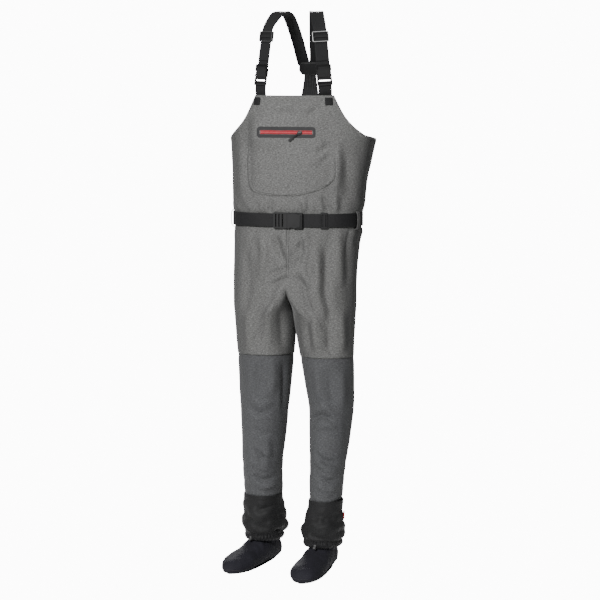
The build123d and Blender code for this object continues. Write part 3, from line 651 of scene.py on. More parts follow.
def fold(flat, path, width, height, fade=0.35):
    """A soft ridge or crease along a path, fading over a share of its length at each end."""
    path = np.array(path, float)
    legs = np.diff(path, axis=0)
    spans = np.linalg.norm(legs, axis=1)
    nearest = np.full(flat.shape[:-1], 1e9)
    share = np.zeros(flat.shape[:-1])
    done = 0.0
    for start, leg, span in zip(path[:-1], legs, spans):
        t = np.clip(((flat - start) @ leg) / (span * span), 0, 1)
        away = np.linalg.norm(flat - (start + t[..., None] * leg), axis=-1)
        closer = away < nearest
        share = np.where(closer, (done + t * span) / spans.sum(), share)
        nearest = np.where(closer, away, nearest)
        done += span
    envelope = smooth(share, 0, fade) * smooth(1 - share, 0, fade)
    r = nearest / width
    return height * envelope * (np.exp(-r * r) - 0.28 * np.exp(-((r - 2.0) ** 2) / 0.8))


def front_folds(p, out, table):
    """The folds of a table, on the side of the cloth that faces the camera."""
    flat = np.stack([p[..., 0] * VIEW_COS + p[..., 1] * VIEW_SIN, p[..., 2]], -1)
    total = np.zeros(p.shape[:-1])
    for width, height, *path in table:
        total += fold(flat, path, width, height)
    return total * smooth(out @ TO_CAMERA, 0.0, 0.55)


def gathers(s, rise, seed, count, span, width, reach, height):
    """Short folds that run away from a gathered line; rise is the distance from it."""
    rng = np.random.RandomState(seed)
    total = np.zeros_like(s)
    for _ in range(count):
        centre = rng.uniform(0, span)
        fold_width = width * rng.uniform(0.6, 1.5)
        fold_reach = reach * rng.uniform(0.5, 1.4)
        fold_height = height * rng.uniform(0.4, 1.2) * (1 if rng.rand() < 0.6 else -0.8)
        lean = rng.uniform(-0.22, 0.22)
        off = (s - centre - lean * rise + span / 2) % span - span / 2
        total += fold_height * bell(off, fold_width) * np.exp(-np.clip(rise, 0, None) / fold_reach)
    return total * (rise > -1) * smooth(rise, -2, 8)


def softness(p):
    """Broad unevenness shared by the trunk and the legs."""
    return (1.5 * waves(p, 190.0, 11, 16, (1, 1, 2.2))
            + 0.55 * waves(p, 62.0, 12, 18, (1, 1, 1.8))
            + 0.16 * waves(p, 22.0, 13, 18))


# ------------------------------------------------------------------ bib and trousers, one cloth
TRUNK_COLUMNS = 360           # column 0 is the front middle
SEAM_COLUMNS = 84             # along the crotch seam
TRUNK_ROW = 5.0
STRETCH_FROM = 1268.0         # rows above this follow the upper edge
# Heights, and half widths of the cloth at those heights
BIB_EDGE = ([1281, 1299, 1317, 1335, 1353, 1371, 1389, 1410],
            [216, 196, 176, 159, 146, 136, 126, 118])
BACK_EDGE = ([1281, 1290, 1303, 1322, 1345], [216, 165, 118, 84, 58])
GATHER_OFF, BAG_OFF = 18, 42  # from the belt's middle to its gathers, and to the bagging cloth


def top_line(theta):
    """Height of the upper edge at each column."""
    heights = np.linspace(ARM_LOW, BIB_TOP, 260)
    top = np.zeros_like(theta)
    for i, angle in enumerate(theta):
        edge, limit = (BIB_EDGE, BIB_TOP) if math.sin(angle) < 0 else (BACK_EDGE, BACK_TOP)
        z = heights[heights <= limit]
        _, _, half_width, _, power = stations_at(TRUNK, z)
        reach = half_width * abs(math.cos(angle)) ** (2 / power)
        inside = reach <= spline(*edge, z)
        top[i] = z[inside].max() if inside.any() else ARM_LOW
    # round off the steps of the search
    for _ in range(2):
        eased = (np.roll(top, 1) + 2 * top + np.roll(top, -1)) / 4
        top = np.where(top >= BIB_TOP - 0.5, top, eased)
    return top


def shape_trunk(p, out):
    """Moves the trunk's points into folds and seams."""
    x, y, z = p[..., 0], p[..., 1], p[..., 2]
    off_belt = np.abs(z - BELT_Z)
    d = softness(p)
    s = arc_lengths(p)[:, :-1] * 1000.0
    loose = smooth(off_belt, 16, 40)
    d += loose * gathers(s, z - (BELT_Z + GATHER_OFF), seed=21, count=30, span=960.0,
                         width=9.0, reach=42.0, height=3.4)
    d += loose * gathers(s, (BELT_Z - GATHER_OFF) - z, seed=22, count=34, span=960.0,
                         width=10.0, reach=66.0, height=3.8)
    # cloth bags above and below the belt
    d += 2.6 * bell(z - (BELT_Z + BAG_OFF), 24.0)
    d += 2.0 * bell(z - (BELT_Z - BAG_OFF), 22.0)
    d += (2.25 * front_folds(p, out, TRUNK_FOLDS)
          * smooth(off_belt, 14, 34) * smooth(1398 - z, 0, 30))
    # sewn seams: front and back middle under the belt, and both sides
    middle = stations_at(TRUNK, z)[0]
    low = smooth(1030 - z, 0, 8)
    d -= 2.4 * bell(x - middle, 3.2) * low
    d += 0.7 * bell(x - middle - 7.5, 3.4) * low
    d -= 1.2 * bell(y - 2, 2.6) * smooth(1272 - z, 0, 6)
    d += smooth(out[..., 1], 0.05, 0.5) * 1.8 * waves(p, 120.0, 31, 14, (1, 1, 3.0))
    return p + out * d[..., None]


def shape_thigh(p, out, side):
    """Moves a thigh's points into folds and its outer seam."""
    d = softness(p)
    d += 2.1 * front_folds(p, out, THIGH_FOLDS[side])
    d += 1.8 * waves(p, 110.0, 33, 14, (1, 1, 3.0))
    d -= 1.2 * bell(p[..., 1] - 2, 2.6) * (p[..., 0] * SIDES[side] > 60)
    return p + out * d[..., None]


def seat_zip(p):
    """Brings the chest forward to a flat seat behind the zip's frame."""
    low, high, centre = box_mm("zip_frame")
    past_x = np.maximum(np.abs(p[..., 0] - centre[0]) - (high[0] - low[0]) / 2, 0)
    past_z = np.maximum(np.abs(p[..., 2] - centre[2]) - 17, 0)
    weight = smooth(34 - past_x, 0, 34) * smooth(40 - past_z, 0, 40) * (p[..., 1] < 0)
    seated = p.copy()
    seated[..., 1] = p[..., 1] + ((high[1] + 0.25) - p[..., 1]) * weight
    return seated


def trunk_grid():
    theta = circle(TRUNK_COLUMNS, FRONT_ANGLE)
    level = np.arange(CROTCH, STRETCH_FROM, TRUNK_ROW)
    share = np.linspace(0, 1, 26)[1:, None]
    heights = np.concatenate([
        np.repeat(level[:, None], TRUNK_COLUMNS, 1),
        level[-1] + share * (top_line(theta)[None] - level[-1])], 0)[::-1]   # rows go down
    p = ring_points(np.broadcast_to(theta, heights.shape), heights,
                    *stations_at(TRUNK, heights))
    out = normals(p)
    trunk = seat_zip(shape_trunk(p, out))
    # hem at the upper edge: two thicknesses of cloth
    from_edge = np.linalg.norm(trunk - trunk[:1], axis=-1)
    trunk += out * (0.9 * smooth(13.0 - from_edge, 0, 1.5))[..., None]
    return trunk, heights


def crotch_seam(front, back):
    """Points that dip under the crotch from the front middle to the back middle."""
    t = np.linspace(0, 1, SEAM_COLUMNS + 1)[1:-1]
    seam = front + (back - front) * t[:, None]
    seam[:, 2] -= 26.0 * np.sqrt(np.clip(1 - (2 * t - 1) ** 2, 0, 1)) ** 1.2
    return seam


def thigh_grid(side, start, angles):
    """Rows from the ring of the seat down to the hem."""
    levels = [start]
    for w in np.linspace(0, 1, 44)[1:]:
        z = start[:, 2] + (HEM[side] - start[:, 2]) * w
        # the round leg fills out as it leaves the seat
        row = start + (leg_at(side, angles, z) - start) * smooth(w, 0.0, 0.72)
        row[:, 2] = z
        levels.append(row)
    p = np.stack(levels, 0)
    bent = shape_thigh(p, normals(p), side)
    fade = smooth(np.arange(len(p)) / 14.0)[:, None, None]
    return p + (bent - p) * fade


def relax_crotch(obj):
    """Smooths the crotch so that the three tubes run into each other."""
    co = np.array([v.co for v in obj.data.vertices])
    group = obj.vertex_groups.new(name="crotch")
    # an ellipsoid round the crotch, in metres
    reach = np.sqrt(((co[:, 0] + 0.005) / 0.075) ** 2 + (co[:, 1] / 0.13) ** 2
                    + ((co[:, 2] - 0.828) / 0.075) ** 2)
    weight = smooth(1.25 - reach, 0, 0.5)
    for i in np.nonzero(weight > 0.01)[0]:
        group.add([int(i)], float(weight[i]), "REPLACE")
    relax = obj.modifiers.new("relax", "SMOOTH")
    relax.factor, relax.iterations, relax.vertex_group = 0.5, 14, "crotch"
    apply_mods(obj)
    obj.vertex_groups.clear()


def build_garment():
    trunk, heights = trunk_grid()
    row_count, half = len(trunk), TRUNK_COLUMNS // 2
    s = arc_lengths(trunk)
    uvs = [grid_uv(s - s[:, -1:] / 2, wrap(heights) / 1000.0)]
    faces = grid(row_count, TRUNK_COLUMNS, True)
    seam = crotch_seam(trunk[-1, 0], trunk[-1, half])
    verts = [trunk.reshape(-1, 3), seam]
    base = (row_count - 1) * TRUNK_COLUMNS
    count = row_count * TRUNK_COLUMNS + len(seam)
    seam_ring = list(range(row_count * TRUNK_COLUMNS, count))
    # round each leg: the trunk's lowest row on that side, then back along the seam
    rings = {
        "right": (list(range(base + half, base + TRUNK_COLUMNS)) + [base] + seam_ring, math.pi / 2),
        "left": (list(range(base, base + half + 1)) + seam_ring[::-1], FRONT_ANGLE),
    }
    for side, (ring, first) in rings.items():
        angles = np.concatenate([
            np.linspace(first, first + math.pi, half + 1),
            np.linspace(first + math.pi, first + 2 * math.pi, SEAM_COLUMNS + 1)[1:-1]])
        thigh = thigh_grid(side, np.concatenate(verts, 0)[ring], angles)
        cols = len(ring)
        for j in range(cols):
            k = (j + 1) % cols
            faces.append((ring[j], ring[k], count + k, count + j))
        faces += grid(len(thigh) - 1, cols, True, count)
        verts.append(thigh[1:].reshape(-1, 3))
        count += (len(thigh) - 1) * cols
        uvs.append(tube_uv(thigh))
    obj = make_mesh("bib_and_trousers", np.concatenate(verts, 0), faces, np.concatenate(uvs, 0))
    relax_crotch(obj)
    thicken(obj, 1.3)
    dress(obj, LIGHT_CLOTH, "root", "light_fabric", "bib_front_panel", "bib_back_panel",
          *[f"{side}_leg_{face}_panel" for side in SIDES for face in ("front", "back")])
    return obj, trunk


def tree_of(obj):
    mesh = obj.data
    return BVHTree.FromPolygons([v.co[:] for v in mesh.vertices],
                                [p.vertices[:] for p in mesh.polygons])


garment, TRUNK_GRID = build_garment()
GARMENT_TREE = tree_of(garment)


# ------------------------------------------------------------------ sewing and webbing
def cast(tree, start, direction):
    """First hit: position and the normal that faces back along the ray, or None."""
    hit, normal, _, _ = tree.ray_cast(Vector([c / 1000 for c in start]), Vector(direction))
    if hit is None:
        return None
    normal = np.array(normal)
    if np.dot(normal, direction) > 0:
        normal = -normal
    return np.array(hit) * 1000, normal


def front_drape(x, z, tree=GARMENT_TREE):
    """The front of the cloth at (x, z)."""
    return cast(tree, (x, -400, z), (0, 1, 0))


def drape_grid(rows):
    """Positions and normals of the cloth at rows of (x, z)."""
    hits = np.array([[front_drape(x, z) for x, z in row] for row in rows])
    return hits[:, :, 0], hits[:, :, 1]


def tube(path, radius, closed=False, cols=8):
    """Vertices and faces of a round cord along a path."""
    path = np.asarray(path, float)
    if closed:
        tangent = np.roll(path, -1, 0) - np.roll(path, 1, 0)
    else:
        tangent = np.gradient(path, axis=0)
    tangent = unit(tangent)
    across = np.cross(tangent, [0.0, 0.0, 1.0])
    upright = np.linalg.norm(across, axis=1) < 0.1
    across[upright] = np.cross(tangent[upright], [1.0, 0.0, 0.0])
    across = unit(across)
    other = np.cross(tangent, across)
    angle = circle(cols)[None, :, None]
    verts = path[:, None] + radius * (np.cos(angle) * across[:, None]
                                      + np.sin(angle) * other[:, None])
    faces = grid(len(path), cols, True)
    if closed:
        last = (len(path) - 1) * cols
        faces += [(last + j, last + (j + 1) % cols, (j + 1) % cols, j) for j in range(cols)]
    else:
        faces += caps(len(path), cols)
    return verts.reshape(-1, 3), faces


# Along one stitch: place as a share of its length, thickness, height in radii
STITCH_PROFILE = [(-0.5, 0.45, -0.5), (-0.36, 1.0, 0.35), (0.36, 1.0, 0.35), (0.5, 0.45, -0.5)]
STITCH_LIFT = 0.12


def stitches(name, path, surface, body, material, pitch, length, radius=0.32):
    """A row of separate stitches on a surface with the given normals."""
    path = np.asarray(path, float)
    surface = unit(np.broadcast_to(surface, path.shape))
    s = distances(path)
    at = np.arange(pitch / 2, s[-1], pitch)

    def sample(values, where):
        return np.stack([np.interp(where, s, values[:, k]) for k in range(3)], 1)

    centre = sample(path, at)
    out = unit(sample(surface, at))
    along = unit(sample(path, np.minimum(at + 0.6, s[-1])) - centre + 1e-9)
    across = np.cross(out, along)
    cols = 6
    angle = circle(cols)[None, :, None]
    rings = []
    for place, thickness, height in STITCH_PROFILE:
        rings.append(centre[:, None] + along[:, None] * place * length
                     + out[:, None] * (STITCH_LIFT + height * radius)
                     + (radius * thickness) * (np.cos(angle) * out[:, None]
                                               + np.sin(angle) * across[:, None] * 1.25))
    verts = np.stack(rings, 1)                 # stitches x rings x columns x 3
    one = grid(len(rings), cols, True) + caps(len(rings), cols)
    faces = []
    for i in range(len(centre)):
        faces += [tuple(i * len(rings) * cols + j for j in face) for face in one]
    dress(make_mesh(name, verts.reshape(-1, 3), faces), material, body)


# Cross-section of webbing: places across as shares of the half width, and thickness there
WEB_ACROSS = np.array([-1, -0.985, -0.95, -0.8, -0.5, 0, 0.5, 0.8, 0.95, 0.985, 1.0])
WEB_HEIGHT = np.array([0.0, 0.55, 0.9, 1.0, 0.97, 0.95, 0.97, 1.0, 0.9, 0.55, 0.0])


def ribbon(name, path, across, *replaced, body="root", half=20.0, thickness=1.7,
           material=WEBBING, slot="webbing", wave=0.0):
    """Flat webbing along a path, its width in the direction across."""
    path = np.asarray(path, float)
    across = unit(np.broadcast_to(np.asarray(across, float), path.shape))
    along = unit(np.gradient(path, axis=0))
    across = unit(across - along * np.einsum("ij,ij->i", across, along)[:, None])
    out = np.cross(along, across)
    s = distances(path)
    path = path + out * (wave * np.sin(s / 31.0 + 0.7) + 0.5 * wave * np.sin(s / 13.0))[:, None]
    place = np.concatenate([WEB_ACROSS, WEB_ACROSS[-2:0:-1]])
    height = np.concatenate([WEB_HEIGHT, -WEB_HEIGHT[-2:0:-1]]) * thickness / 2
    verts = (path[:, None] + across[:, None] * (half * place)[None, :, None]
             + out[:, None] * height[None, :, None])
    rows, cols = len(path), len(place)
    u = np.repeat(s[:, None], cols + 1, 1) / 1000
    v = np.repeat(np.concatenate([place, place[:1]])[None] * half / 1000, rows, 0)
    obj = make_mesh(name, verts.reshape(-1, 3), grid(rows, cols, True) + caps(rows, cols),
                    np.concatenate([grid_uv(u, v), np.zeros((2 * cols, 2))], 0))
    dress(obj, material, body, slot, *replaced)
    return obj


# ------------------------------------------------------------------ hem and front seam
def top_edge_stitches():
    """A stitched hem line under the upper edge, all the way round."""
    inset = 11.0
    out = normals(TRUNK_GRID)
    path, surface = [], []
    for j in range(TRUNK_COLUMNS):
        from_edge = np.linalg.norm(TRUNK_GRID[:, j] - TRUNK_GRID[0, j], axis=-1)
        i = int(np.argmax(from_edge > inset))
        path.append(TRUNK_GRID[i, j])
        surface.append(out[i, j])
    stitches("bib_hem_stitches", path + path[:1], surface + surface[:1], "root",
             GREY_THREAD, pitch=3.8, length=2.7)


def front_seam_stitches():
    """Two rows beside the front middle, from the belt to the crotch."""
    for x, tag in ((-3.4, "a"), (3.6, "b")):
        line = curve([(x, 1024), (x + 1, 950), (x, 876)], 3.0)
        hits = [hit for hit in (front_drape(*point) for point in line) if hit is not None]
        stitches(f"front_seam_stitches_{tag}", [point + normal * 0.15 for point, normal in hits],
                 [normal for _, normal in hits], "root", BLACK_THREAD,
                 pitch=3.5, length=2.8, radius=0.4)


top_edge_stitches()
front_seam_stitches()

# ------------------------------------------------------------------ chest pocket
POCKET_LOW = 1116
# Heights, and x of the edge on the wearer's right and on the wearer's left
POCKET_RIGHT = ([POCKET_LOW, 1117, 1122, 1130, 1140, 1160, 1200, 1322],
                [-8, -32, -82, -110, -120, -125, -127, -125])
POCKET_LEFT = ([POCKET_LOW, 1117, 1122, 1132, 1145, 1160, 1172, 1190, 1322],
               [0, 8, 42, 82, 112, 132, 141, 143, 140])
# Lower row of stitches, as (x, height)
POCKET_LOWER_STITCHES = [(-104, 1129.5), (-80, 1125.8), (-32, 1120.6), (-6, 1119.6),
                         (10, 1120.6), (42, 1125.6), (80, 1135.0), (110, 1148.0)]


def build_pocket():
    heights = np.concatenate([np.arange(1268, 1165, -4.0), np.arange(1165, 1116.2, -1.75)])
    cols = 96
    p, out = drape_grid(
        [(x, z) for x in np.linspace(spline(*POCKET_RIGHT, z), spline(*POCKET_LEFT, z), cols)]
        for z in heights)
    t = np.linspace(0, 1, cols)
    width = np.linalg.norm(p[:, -1] - p[:, 0], axis=-1)
    away = np.minimum(np.minimum(t, 1 - t)[None] * width[:, None], p[..., 2] - POCKET_LOW)
    # the sheet's edge is turned under, and its upper edge lies under the zip's frame
    lift = 1.1 * smooth(away, -0.5, 3.0) - 0.15
    lift += 0.35 * bell(away - 6.5, 3.0) - 0.5 * bell(away - 3.4, 1.1)
    lift -= 2.2 * smooth(p[..., 2], 1196, 1266)
    lift += 0.25 * waves(p, 26.0, 77, 16)
    obj = make_mesh("chest_pocket", (p + out * lift[..., None]).reshape(-1, 3),
                    grid(len(heights), cols, False), grid_uv(p[..., 0] / 1000, p[..., 2] / 1000))
    thicken(obj, 1.0)
    dress(obj, LIGHT_CLOTH, "root", "light_fabric", "chest_pocket_panel")
    return obj


def pocket_stitches(pocket):
    """One row of stitches inside the edge, open at the top."""
    inset = 3.4
    line = [(spline(*POCKET_RIGHT, z) + inset, z) for z in np.arange(1262, 1138, -4.0)]
    line += POCKET_LOWER_STITCHES
    line += [(spline(*POCKET_LEFT, z) - inset, z) for z in np.arange(1160, 1232, 4.0)]
    pocket_tree = tree_of(pocket)
    path, surface = [], []
    for x, z in resample(line, 2.5):
        hits = [front_drape(x, z, pocket_tree), front_drape(x, z)]
        hits = [hit for hit in hits if hit is not None]
        if hits:
            point, normal = min(hits, key=lambda hit: hit[0][1])
            path.append(point)
            surface.append(normal)
    stitches("chest_pocket_stitches", path, surface, "root", BLACK_THREAD,
             pitch=3.4, length=2.5, radius=0.36)


pocket_stitches(build_pocket())


# ------------------------------------------------------------------ lower legs
def lower_relief(p, out, side):
    x, y, z = p[..., 0], p[..., 1], p[..., 2]
    on_left = side == "left"
    d = 2.4 * front_folds(p, out, LOWER_FOLDS[side]) * smooth(z, 206, 236)
    d += softness(p)
    d += 1.2 * waves(p, 110.0, 33, 14, (1, 1, 3.0)) * smooth(z, 480, 640)
    # cloth that stacks up above the foot, and behind the knee
    d += smooth(420 - z, 0, 190) * 1.5 * waves(p, 34.0, 40 + on_left, 22, (2.4, 2.4, 1.0))
    behind_knee = bell(z - 480, 62.0) * smooth(out[..., 1], 0.1, 0.7)
    d += behind_knee * 2.6 * waves(p, 36.0, 50 + on_left, 20, (3.2, 3.2, 1.0))
    # seams up the inside and the outside
    cx, cy = stations_at(LEG[side], z)[:2]
    d -= 1.3 * bell(y - cy - 2, 2.4) * (np.abs(x - cx) > 20)
    return d


def build_lower(side):
    cols = 168
    levels = np.concatenate([np.arange(HEM[side] + 13, 470, -5.0), np.arange(470, 190, -3.6)])
    z, theta = np.meshgrid(levels, circle(cols, FRONT_ANGLE), indexing="ij")
    p = leg_at(side, theta, z)
    out = normals(p)
    # held in under the hem of the light cloth, and again inside the foot guard
    grow = -2.0 + 1.5 * smooth(HEM[side] - 4 - z, 0, 22) - 3.6 * smooth(222 - z, 0, 14)
    p = p + out * (lower_relief(p, out, side) + grow)[..., None]
    obj = make_mesh(f"{side}_lower_leg", p.reshape(-1, 3), grid(len(levels), cols, True),
                    tube_uv(p))
    thicken(obj, 1.4)
    dress(obj, DARK_CLOTH, None, "dark_fabric", f"{side}_knee_panel", f"{side}_shin_panel")
    knee_x = float(stations_at(LEG[side], 480)[0]) / 1000
    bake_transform(obj)


# ------------------------------------------------------------------ foot guards
# Height, centre x, centre y, half width, half depth
GUARD = {
    "right": [
        (214, -105, -0.5, 56, 61), (185, -104, 0, 58.5, 64), (140, -102, 0, 64, 69),
        (122, -101, -2, 65, 70), (110, -101, -3, 62.5, 69.5), (103.5, -101, -3.5, 58.5, 67.5),
    ],
    "left": [
        (213, 102, -46, 49, 57.5), (185, 100, -49, 51.5, 60), (140, 98, -54, 61, 67),
        (122, 97, -57, 63, 69), (110, 96.5, -58.5, 61, 68.5), (103.5, 96, -60, 57.5, 67),
    ],
}
GUARD_SEED = {"right": 60, "left": 67}
GUARD_LIP = [(-1.6, -2.2), (-4.0, -3.0), (-6.5, -1.6), (-8.5, 1.5)]   # outward, up


def guard_relief(p, out, side):
    seed = GUARD_SEED[side]
    x, y, z = p[..., 0], p[..., 1], p[..., 2]
    d = 3.0 * waves(p, 58.0, seed, 18, (1.6, 1.6, 1.0))
    d += 1.1 * waves(p, 26.0, seed + 1, 20, (1.2, 1.2, 1.0))
    d += 1.9 * waves(p, 30.0, seed + 2, 16, (3.0, 3.0, 1.0)) * smooth(190 - z, 0, 40)
    slanted = np.stack([x + 0.7 * z, y, z - 0.5 * x], -1)
    d += 2.2 * waves(slanted, 38.0, seed + 9, 12, (3.0, 3.0, 0.8))
    d *= smooth(214 - z, 0, 52) * 0.9 + 0.1
    d += gathers(arc_lengths(p)[:, :-1] * 1000, z - 104, seed=seed + 3, count=52, span=400.0,
                 width=4.2, reach=17.0, height=2.6)
    if side == "left":       # the seam stands a little proud where the tab is sewn on
        near_tab = np.exp(-((y + 53) / 15.0) ** 2 - ((z - 170) / 19.0) ** 2)
        d += (3.4 - 0.75 * d) * near_tab * (x > stations_at(GUARD[side], z)[0])
    # hem at the top
    d += 0.8 * smooth(z, 201.5, 202.8)
    # the cloth bags outwards over its elastic
    d += 1.7 * front_folds(p, out, GUARD_FOLDS[side])
    return d


def build_guard(side):
    cols = 150
    levels = np.arange(214.0, 103.0, -2.5)
    z, theta = np.meshgrid(levels, circle(cols, FRONT_ANGLE), indexing="ij")
    p = ring_points(theta, z, *stations_at(GUARD[side], z))
    out = normals(p)
    p = p + out * guard_relief(p, out, side)[..., None]
    # turned under at the bottom
    last = p[-1]
    radial = unit(last[:, :2] - last[:, :2].mean(0))
    lips = [last + np.column_stack([radial * outward, np.full(cols, up)])
            for outward, up in GUARD_LIP]
    p = np.concatenate([p, np.array(lips)], 0)
    obj = make_mesh(f"{side}_foot_guard", p.reshape(-1, 3), grid(len(p), cols, True),
                    grid_uv(arc_lengths(p), wrap(p[..., 2]) / 1000))
    thicken(obj, 1.3)
    dress(obj, GUARD_CLOTH, f"{side}_shin", "guard_fabric", f"{side}_gravel_guard")
    # stitched hem line near the top edge
    out = normals(p)
    i = int(np.argmax(p[:, 0, 2] < 203.5))
    stitches(f"{side}_guard_stitches", wrap(p[i:i + 1])[0], wrap(out[i:i + 1])[0],
             f"{side}_shin", BLACK_THREAD, pitch=3.6, length=2.6, radius=0.34)
    return obj


def build_gathered_band(side):
    """Gathered elastic under the guard's overhang."""
    seed = GUARD_SEED[side]
    _, cx, cy, half_width, half_depth = GUARD[side][-1]
    levels = np.linspace(108, 80, 20)
    cols = 264
    z, theta = np.meshgrid(levels, circle(cols, FRONT_ANGLE), indexing="ij")
    uneven = theta + 0.05 * np.sin(theta * 7 + seed) + 0.03 * np.sin(theta * 13)
    fade = np.sin(math.pi * np.clip((z - 79) / 30, 0, 1)) ** 0.5
    puckers = waves(np.stack([theta * 60, z * 0.6], -1), 12.0, seed + 5, 14)
    ribs = (1.5 * np.abs(np.sin(uneven * 21)) ** 1.4 + 1.0 * puckers) * (0.45 + 0.55 * fade)
    bulge = (2.6 * np.sin(math.pi * np.clip((z - 79.5) / 17.0, 0, 1))
             + 1.2 * np.sin(math.pi * np.clip((z - 96) / 10.0, 0, 1)))
    grow = -5.0 + ribs + bulge
    p = ring_points(theta, z, cx, cy, half_width + grow, half_depth + grow)
    obj = make_mesh(f"{side}_gathered_band", p.reshape(-1, 3), grid(len(levels), cols, True),
                    grid_uv(wrap(z) / 1000, arc_lengths(p)))
    thicken(obj, 1.8)
    dress(obj, ELASTIC, f"{side}_shin", "elastic", f"{side}_guard_elastic")


# ------------------------------------------------------------------ socks
ANKLE = {"right": (-101.0, -2.0), "left": (96.0, -58.0)}                     # x, y
HEADING = {"right": math.radians(-18.0), "left": math.radians(-6.0)}         # toes, from -Y
# Distance behind the ankle (toes negative), half width, height
FOOT = [(-197, 5, 12), (-195, 14, 21), (-189, 25, 31), (-170, 40, 43), (-132, 49, 55),
        (-82, 47, 66), (-34, 42, 88), (8, 39, 99), (42, 34, 86), (60, 24, 60), (67, 9, 36)]
# Height, half width, half depth, centre's distance behind the ankle
SHAFT = [(40, 33, 44, 2), (62, 38, 50, -1), (85, 42.5, 52.5, -3), (110, 45, 53, -2),
         (152, 47, 55, 0)]
LOWEST = 2.85                 # underside of the sock, just inside the sole pad
# Distance inwards (negative) and height of the sole pad's rings, from below
SOLE_RINGS = [(-5, 0.25), (-1.6, 0.0), (-0.5, 0.35), (0, 1.2), (0, 2.6), (-0.6, 3.6),
              (-2.4, 4.2), (-6, 4.4)]


def foot_to_world(side, behind, across, z):
    """Places a point given by its distance behind the ankle, sideways and up."""
    turn = HEADING[side]
    x, y = ANKLE[side]
    # an empty sock stands on its toes and ball, with the heel lifted a little
    z = z + 0.062 * np.clip(behind + 165.0, 0, None) * np.clip(1 - z / 92.0, 0, 1)
    return np.stack([x - behind * math.sin(turn) + across * math.cos(turn),
                     y + behind * math.cos(turn) + across * math.sin(turn), z], -1)


def sock_hull(side):
    """The foot and the ankle shaft as two overlapping closed tubes."""
    s = np.concatenate([np.linspace(-201, -190, 8), np.linspace(-186, 56, 60),
                        np.linspace(58, 67, 8)])
    cols = 56
    behind, angle = np.meshgrid(s, circle(cols), indexing="ij")
    half_width, height = stations_at(FOOT, behind)
    across = half_width * signed_power(np.cos(angle), 0.9)
    z = np.maximum(0.46 * height + 0.54 * height * np.sin(angle), LOWEST + 0.05)
    foot = foot_to_world(side, behind, across, z)
    levels = np.linspace(152, 40, 24)
    z, angle = np.meshgrid(levels, circle(cols), indexing="ij")
    half_width, half_depth, offset = stations_at(SHAFT, z)
    shaft = foot_to_world(side, offset + half_depth * np.sin(angle),
                          half_width * np.cos(angle), z)
    return merge([(p.reshape(-1, 3), grid(len(p), cols, True) + caps(len(p), cols))
                  for p in (foot, shaft)])


def crease_sock(mesh, side):
    co = np.array([v.co for v in mesh.vertices]) * 1000
    out = np.array([v.normal for v in mesh.vertices])
    d = 0.9 * waves(co, 46.0, 90 + (side == "left"), 18) + 0.35 * waves(co, 18.0, 92, 18)
    # creases across the bend of the ankle: place forward of it, and height
    toes = np.array([math.sin(HEADING[side]), -math.cos(HEADING[side]), 0])
    forward = (co - np.array([*ANKLE[side], 0])) @ toes
    instep = smooth(out[:, 2] + 0.6 * (out @ toes), 0.35, 0.9)
    for place, height in ((46, -1.7), (58, 1.1), (70, -1.2), (90, -0.8)):
        d += instep * height * bell(forward + 0.55 * (co[:, 2] - 66) - place, 5.5)
    # pressed in under the lace hook
    hook = box_mm(f"{side}_lace_hook")[2]
    d -= 3.4 * np.exp(-((co - hook) ** 2).sum(1) / (2 * 10.0 ** 2))
    co = co + out * (d * smooth(co[:, 2], 2.0, 14.0))[:, None]
    co[:, 2] = np.maximum(co[:, 2], LOWEST)
    mesh.vertices.foreach_set("co", (co / 1000).ravel())
    mesh.update()
    mesh.polygons.foreach_set("use_smooth", [True] * len(mesh.polygons))


def build_sock(side):
    """Makes the sock and returns a tree of its surface."""
    obj = make_mesh(f"{side}_sock", *sock_hull(side))
    remesh = obj.modifiers.new("r", "REMESH")
    remesh.mode, remesh.voxel_size, remesh.use_smooth_shade = "VOXEL", 0.0034, True
    relax = obj.modifiers.new("s", "SMOOTH")
    relax.factor, relax.iterations = 0.5, 12
    apply_mods(obj)
    crease_sock(obj.data, side)
    dress(obj, NEOPRENE, None, "neoprene", f"{side}_sock_foot", f"{side}_sock_shaft")
    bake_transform(obj)
    return tree_of(obj)


def sock_seams(side, tree):
    """Taped seams: round the foot above the sole, and over the instep."""
    def project(points):
        path = []
        for point in points:
            hit, normal, _, _ = tree.find_nearest(Vector([c / 1000 for c in point]))
            path.append(np.array(hit) * 1000 + np.array(normal) * 0.25)
        return np.array(path)

    ring = []
    for angle in circle(140):
        c = math.cos(angle)
        behind = -67 + 136 * signed_power(c, 0.75)
        half_width = float(stations_at(FOOT, behind)[0]) + 2
        ring.append(foot_to_world(side, behind, half_width * math.sin(angle),
                                  15.0 + 4 * max(0, c)))
    ring = project(relax_loop(project(ring), 4))
    over = []
    for k in range(70):
        u = -1 + 2 * k / 69
        behind = -28 - 40 * (1 - abs(u)) + 62 * abs(u) ** 2.2
        over.append(foot_to_world(side, behind, 48.0 * signed_power(u, 0.7),
                                  84 - 62 * abs(u) ** 1.6))
    over = project(relax_path(project(over)))
    obj = make_mesh(f"{side}_sock_seams", *merge([tube(ring, 0.55, closed=True),
                                                  tube(over, 0.55)]))
    dress(obj, NEOPRENE_TAPE, f"{side}_foot", "neoprene")


